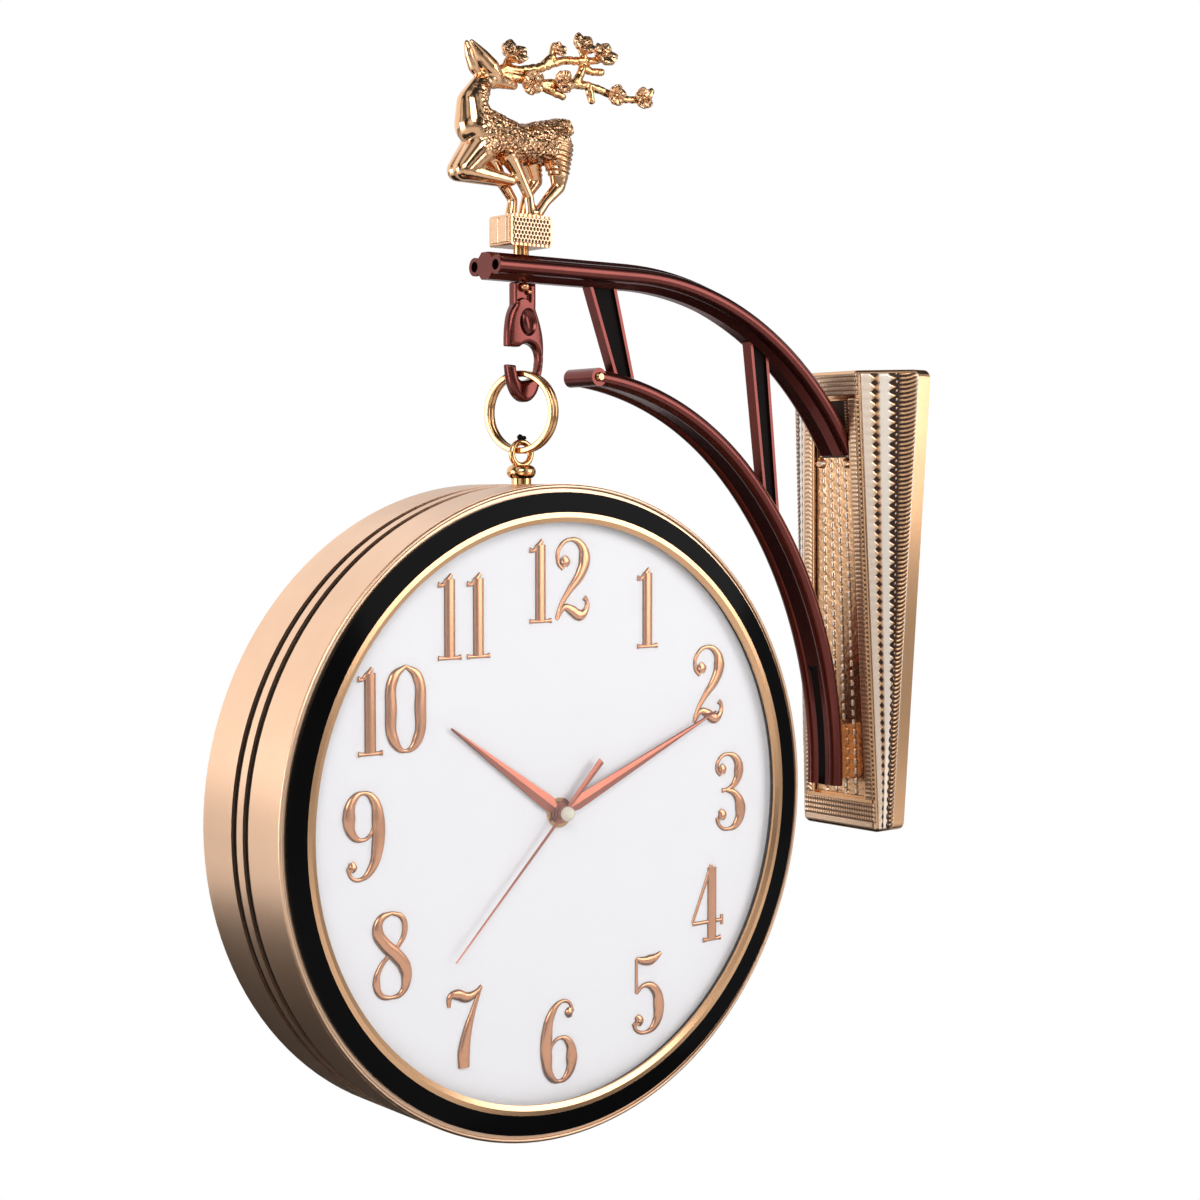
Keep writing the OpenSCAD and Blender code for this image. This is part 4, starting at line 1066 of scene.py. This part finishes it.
# The hook's thickness: as a share at its middle line, and what it loses half its width away, low down
HOOK_MIDDLE = 1.5 * MM
HOOK_HALF = 11 * MM
HOOK_FULL = 1.06
HOOK_SLIM = 0.34
SLIM_FROM = (10 * MM, 14 * MM)
POCKET_DEPTH = 1.8 * MM
DIMPLE_AT = (1.8, 27)
DIMPLE_SIZE = (5.2, 2.9, 6.8, 1)
DIMPLE_OUT = 0.9 * MM
LEAF_AT = (1.3, 26.4)
LEAF_SIZE = (2.4, 1.7, 5.4, 1)
LEAF_IN = 1.3 * MM
LEAF_LEAN = math.radians(-14)
CHANNEL_DEPTH = 0.5 * MM
WEB_HALF = 2 * MM
WEB_TOP = 66 * MM
WEB_RIM = 2.4 * MM
SKIN_LIFT = 0.06 * MM
# Beads of the tie's knot, in mm from the top of the hanger's eye: place and radius
TIE = points("-.6 .3 .9 1.3, 1 .2 .4 1.1, 2.3 .4 .6 .9")
RING_TURN = math.radians(19)
RING_START = math.radians(107)
RING_GAP = math.radians(7)
RING_THICK = 2.9 * MM
RING_WIDE = 2.7 * MM
RING_EDGE = 0.7 * MM
RING_SPLIT = 0.1 * MM
RING_STEPS = 240


def slab(name, outline, half, edge):
    """A flat outline in x and z, made thick along y with rounded edges."""
    data = given(bpy.data.curves.new(name, "CURVE"), dimensions="2D", fill_mode="BOTH", resolution_u=6,
                 extrude=half - edge, bevel_depth=edge, offset=-edge, bevel_resolution=3)
    add_spline(data, [(x * MM, z * MM, 1, soft) for x, z, soft in outline], cyclic=True)
    mesh = evaluated(loose(name, data))
    mesh.transform(Matrix.Rotation(math.pi / 2, 4, "X"))
    return mesh


class CLOCK_OT_hook(bpy.types.Operator):
    """Cast hook with its dimples, painted shade in the bracket's channels, the split ring and the tie on the
    eye
    """
    bl_idname = "clock.hook"
    bl_label = "Hook"

    def execute(self, context):
        low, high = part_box("hook")
        seat = moved((CLOCK.x, 0, high.z - HOOK_HEIGHT))
        mesh = slab("hook cast", HOOK_OUTLINE, high.y, HOOK_EDGE)
        mesh.transform(seat)
        hook = loose("hook cast", mesh)
        cutters = []
        for side in (-1, 1):
            pocket = slab("pocket", HOOK_POCKET, POCKET_DEPTH, 0.2 * MM)
            pocket.transform(moved((0, side * high.y, 0)) @ seat)
            dimple = bmesh.new()
            add_ball(dimple, MM, Matrix(), 40, 24)
            dimple.transform(self.facet(seat, DIMPLE_AT, side * (high.y + DIMPLE_OUT))
                             @ Matrix.Diagonal(DIMPLE_SIZE))
            cutters += [loose("pocket", pocket), loose("dimple", dimple)]
        for cutter in cutters:
            given(hook.modifiers.new("cut", "BOOLEAN"), operation="DIFFERENCE", solver="EXACT", object=cutter)
        skin = cast(hook, HOOK_DETAIL, 4)
        for vert in skin.vertices:
            off = (vert.co.x - CLOCK.x - HOOK_MIDDLE) / HOOK_HALF
            vert.co.y *= HOOK_FULL - HOOK_SLIM * off * off * step(high.z - vert.co.z, *SLIM_FROM)
        body = piece("hook_cast", skin, "mahogany_metal", "bracket")
        for cutter in cutters:
            bpy.data.objects.remove(cutter)
        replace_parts(body, "hook")
        self.leaves(seat, high.y)
        self.channels()
        self.tie()
        self.ring()
        return {"FINISHED"}

    def facet(self, seat, at, y):
        """A place on the hook, with x and z in mm from its seat."""
        return seat @ moved((at[0] * MM, y, at[1] * MM))

    def leaves(self, seat, half):
        """A raised leaf in each dimple."""
        bm = bmesh.new()
        for side in (-1, 1):
            place = self.facet(seat, LEAF_AT, side * (half - LEAF_IN))
            add_ball(bm, MM, place @ Matrix.Rotation(LEAF_LEAN, 4, "Y") @ Matrix.Diagonal(LEAF_SIZE), 32, 20)
        piece("hook_leaves", bm, "mahogany_metal", "bracket")

    def channels(self):
        """Black skins of painted shade in the channels of the struts and on the lower arm's web."""
        for node in ("inner_strut", "outer_strut"):
            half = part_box(node)[1].y
            self.skin(node, lambda n, c: abs(n.y) > 0.9 and abs(c.y) < half - CHANNEL_DEPTH)
        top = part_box("lower_arm")[0].z + WEB_TOP
        self.skin("lower_arm", lambda n, c: abs(n.y) < 0.3 and abs(c.y) < WEB_HALF, top)

    def skin(self, node, keep, top=None):
        """A copy of a node's faces, by their normals and centres, lifted a little; cut off above top."""
        bm = bmesh_of(frame["nodes"][node].data)
        bmesh.ops.remove_doubles(bm, verts=bm.verts[:], dist=0.001 * MM)
        bm.normal_update()
        away = [f for f in bm.faces if not keep(f.normal, f.calc_center_median())]
        bmesh.ops.delete(bm, geom=away, context="FACES")
        if top:
            bmesh.ops.bisect_plane(bm, geom=bm.verts[:] + bm.edges[:] + bm.faces[:], plane_co=(0, 0, top),
                                   plane_no=(0, 0, 1), clear_outer=True)
            rim = bmesh.ops.inset_region(bm, faces=bm.faces[:], thickness=WEB_RIM, use_boundary=True,
                                         use_even_offset=False)["faces"]
            bmesh.ops.delete(bm, geom=rim, context="FACES")
        bm.normal_update()
        for vert in bm.verts:
            vert.co += vert.normal * SKIN_LIFT
        # Painted shade: the lifted skin is near-black where the channel lies in shade
        piece(node + "_channel", bm, "channel_shade", "bracket")

    def tie(self):
        """A short knotted black tie on top of the hanger's eye."""
        top = Vector((mid("hanger_stud").x, 0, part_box("hanger_stud")[1].z))
        bm = bmesh.new()
        for *offset, radius in TIE:
            for vert in add_ball(bm, radius * MM, (0, 0, 0), 16, 10):
                vert.co = top + Vector(offset) * MM + vert.co * (1 + 0.25 * noise.noise(vert.co * 1500))
        piece("eye_tie", bm, "seal_black", "clock")

    def ring(self):
        """Split ring: one flat wire wound twice, crossing over between its two ends."""
        low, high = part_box("hanging_ring")
        centre = (low + high) / 2
        radius = (high.z - low.z - RING_THICK) / 2
        axis = Vector((math.cos(RING_TURN), math.sin(RING_TURN), 0))
        side = Vector((math.sin(RING_TURN), -math.cos(RING_TURN), 0))
        section = []
        for corner, (out, along) in enumerate(((1, 1), (-1, 1), (-1, -1), (1, -1))):
            for bend in range(4):
                a = math.pi / 2 * (corner + bend / 3)
                section.append((out * (RING_THICK / 2 - RING_EDGE) + RING_EDGE * math.cos(a),
                                along * (RING_WIDE / 2 - RING_EDGE) + RING_EDGE * math.sin(a)))
        bm = bmesh.new()
        last = None
        for i in range(RING_STEPS + 1):
            turn = RING_GAP + (4 * math.pi - 2 * RING_GAP) * i / RING_STEPS
            over = step(turn, 2 * math.pi - RING_GAP, 2 * math.pi + RING_GAP)
            level = (over - 0.5) * (RING_WIDE + RING_SPLIT)
            out = side * math.cos(turn + RING_START) + Vector((0, 0, math.sin(turn + RING_START)))
            verts = [bm.verts.new(centre + out * (radius + r) + axis * (level + w)) for r, w in section]
            if last:
                for j in range(len(verts)):
                    k = (j + 1) % len(verts)
                    bm.faces.new((last[j], last[k], verts[k], verts[j]))
            else:
                bm.faces.new(verts)
            last = verts
        bm.faces.new(list(reversed(last)))
        bmesh.ops.recalc_face_normals(bm, faces=bm.faces[:])
        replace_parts(piece("split_ring", bm, "bright_gold", "ring"), "hanging_ring")


FLOOR_HALF = 6
CARD_HALF = 0.55
CARD_BACK = 0.2
SENSOR = 36
AIM_RISE = 0.12
# Lamps: place from the aim, size, and power as a share of the key power
LAMPS = {
    "key": ((-1.0, -1.3, 0.9), 0.9, 1.4),
    "fill": ((0.9, -1.2, 0.3), 0.9, 0.9),
    "side": ((-1.5, 0.6, -0.1), 1.0, 1.4),
    "back": ((-0.4, 1.5, 0.9), 2.2, 0.6),
}
# What a mirror shows of the floor and of the card
FLOOR_SHADE = 0.93
CARD_SHADE = 0.02
# The studio's light: its patches and their levels, what comes from above, the left, behind and a strip
PATCHES = 1.7
DARKEST = 0.04
PANEL_LIGHT = 0.4
UPPER_LIGHT = 0.3
LEFT_LIGHT = 0.2
BACK_LIGHT = 0.84
STRIP_LIGHT = 0.95
# The plate's slope mirrors this way, across and forward
STRIP_WAY = (-0.84, -0.53)


class CLOCK_OT_stage(bpy.types.Operator):
    """Camera, floor, world and lamps"""
    bl_idname = "clock.stage"
    bl_label = "Stage"

    def execute(self, context):
        stage = context.scene.clock_stage
        self.camera(context, stage)
        self.floor(stage)
        self.world(context)
        self.lamps(stage)
        context.scene.view_settings.view_transform = "Standard"
        return {"FINISHED"}

    def camera(self, context, stage):
        camera = loose("camera", given(bpy.data.cameras.new("camera"), lens=stage.focal, sensor_width=SENSOR))
        a, e = stage.azimuth, stage.elevation
        back = Vector((math.sin(a) * math.cos(e), -math.cos(a) * math.cos(e), math.sin(e)))
        right = Vector((0, 0, 1)).cross(back).normalized()
        turn = Matrix((right, back.cross(right), back)).transposed().to_4x4()
        camera.matrix_world = moved(stage.camera_at) @ turn
        context.scene.camera = camera

    def floor(self, stage):
        """A white floor, and a card on it that looks dark in polished metal."""
        low = CAD_LOW - stage.floor_drop
        self.sheet("floor", FLOOR_HALF, Vector((0, 0, low)), FLOOR_SHADE)
        self.sheet("dark_card", CARD_HALF, Vector((CLOCK.x, CARD_BACK, low + MM)), CARD_SHADE)

    def sheet(self, name, half, centre, mirrored):
        """A level sheet, pure white to the camera, with a shade of its own where metal mirrors it."""
        bm = bmesh.new()
        bmesh.ops.create_grid(bm, x_segments=1, y_segments=1, size=half)
        bm.transform(moved(centre))
        floor = loose(name, bm)
        finish = Finish(name + "_pale")
        shade = finish.mix(finish.ray("Glossy"), (FLOOR_SHADE,) * 3, (mirrored,) * 3)
        finish.set(Base_Color=shade, Roughness=0.9)
        glow = finish.node("Emission", {"Color": (1, 1, 1), "Strength": 1.0})
        shader = Sock(finish, finish.shader.outputs[0])
        both = finish.node("MixShader", {0: finish.ray("Camera"), 1: shader, 2: glow})
        finish.put(finish.tree.nodes["Material Output"].inputs["Surface"], both)
        floor.data.materials.append(finish.material)

    def world(self, context):
        """White where it is seen, and a soft studio with darker sides where it lights and reflects."""
        world = bpy.data.worlds.new("studio")
        world.use_nodes = True
        context.scene.world = world
        studio = Nodes(world.node_tree)
        place = studio.node("TexCoord", out="Generated")
        across, forward, height = (studio.node("SeparateXYZ", {0: place}, i) for i in range(3))
        patches = studio.node("TexNoise", {"Vector": place, "Scale": PATCHES, "Detail": 1})
        panels = patches.clamp(0.44, 0.56)
        light = DARKEST + panels * (PANEL_LIGHT + UPPER_LIGHT * height.clamp(-0.2, 0.5)
                                    + LEFT_LIGHT * (0 - across).clamp(0.1, 0.9))
        behind = forward.clamp(0.5, 0.7)
        light = light * (1 - behind) + BACK_LIGHT * behind
        strip = (across * STRIP_WAY[0] + forward * STRIP_WAY[1]).clamp(0.93, 0.98)
        light = light * (1 - strip) + STRIP_LIGHT * strip
        seen = (studio.ray("Camera") + studio.ray("Transmission")).clamp(0, 1)
        background = studio.tree.nodes["Background"]
        studio.put(background.inputs["Color"], (1, 1, 1))
        studio.put(background.inputs["Strength"], seen * (1 - light) + light)

    def lamps(self, stage):
        aim = Vector((CLOCK.x, 0, CLOCK.z + AIM_RISE))
        for name, (at, size, power) in LAMPS.items():
            data = given(bpy.data.lights.new(name, "AREA"), size=size, energy=stage.key_power * power)
            turn = Vector(at).to_track_quat("Z", "Y").to_matrix().to_4x4()
            loose(name, data).matrix_world = moved(aim + Vector(at)) @ turn


class CLOCK_PT_panel(bpy.types.Panel):
    """The clock's sizes, colours and steps"""
    bl_label = "Double-sided clock"
    bl_idname = "CLOCK_PT_panel"
    bl_space_type = "VIEW_3D"
    bl_region_type = "UI"
    bl_category = "Clock"

    def draw(self, context):
        for operator in STEPS:
            self.layout.operator(operator)
        for group in SETTINGS:
            settings = getattr(context.scene, group)
            for prop in settings.bl_rna.properties:
                if prop.identifier not in ("rna_type", "name"):
                    self.layout.prop(settings, prop.identifier)


OPERATORS = [CLOCK_OT_finishes, CLOCK_OT_numerals, CLOCK_OT_hands, CLOCK_OT_plate, CLOCK_OT_ornament,
             CLOCK_OT_hook, CLOCK_OT_stage]
STEPS = [operator.bl_idname for operator in OPERATORS]
CLASSES = [*SETTINGS.values(), *OPERATORS, CLOCK_PT_panel]


def register():
    for cls in CLASSES:
        bpy.utils.register_class(cls)
    for group, cls in SETTINGS.items():
        setattr(bpy.types.Scene, group, bpy.props.PointerProperty(type=cls))


def unregister():
    for group in SETTINGS:
        delattr(bpy.types.Scene, group)
    for cls in reversed(CLASSES):
        bpy.utils.unregister_class(cls)


def main():
    register()
    for operator in STEPS:
        module, name = operator.split(".")
        getattr(getattr(bpy.ops, module), name)()


if __name__ == "__main__":
    main()
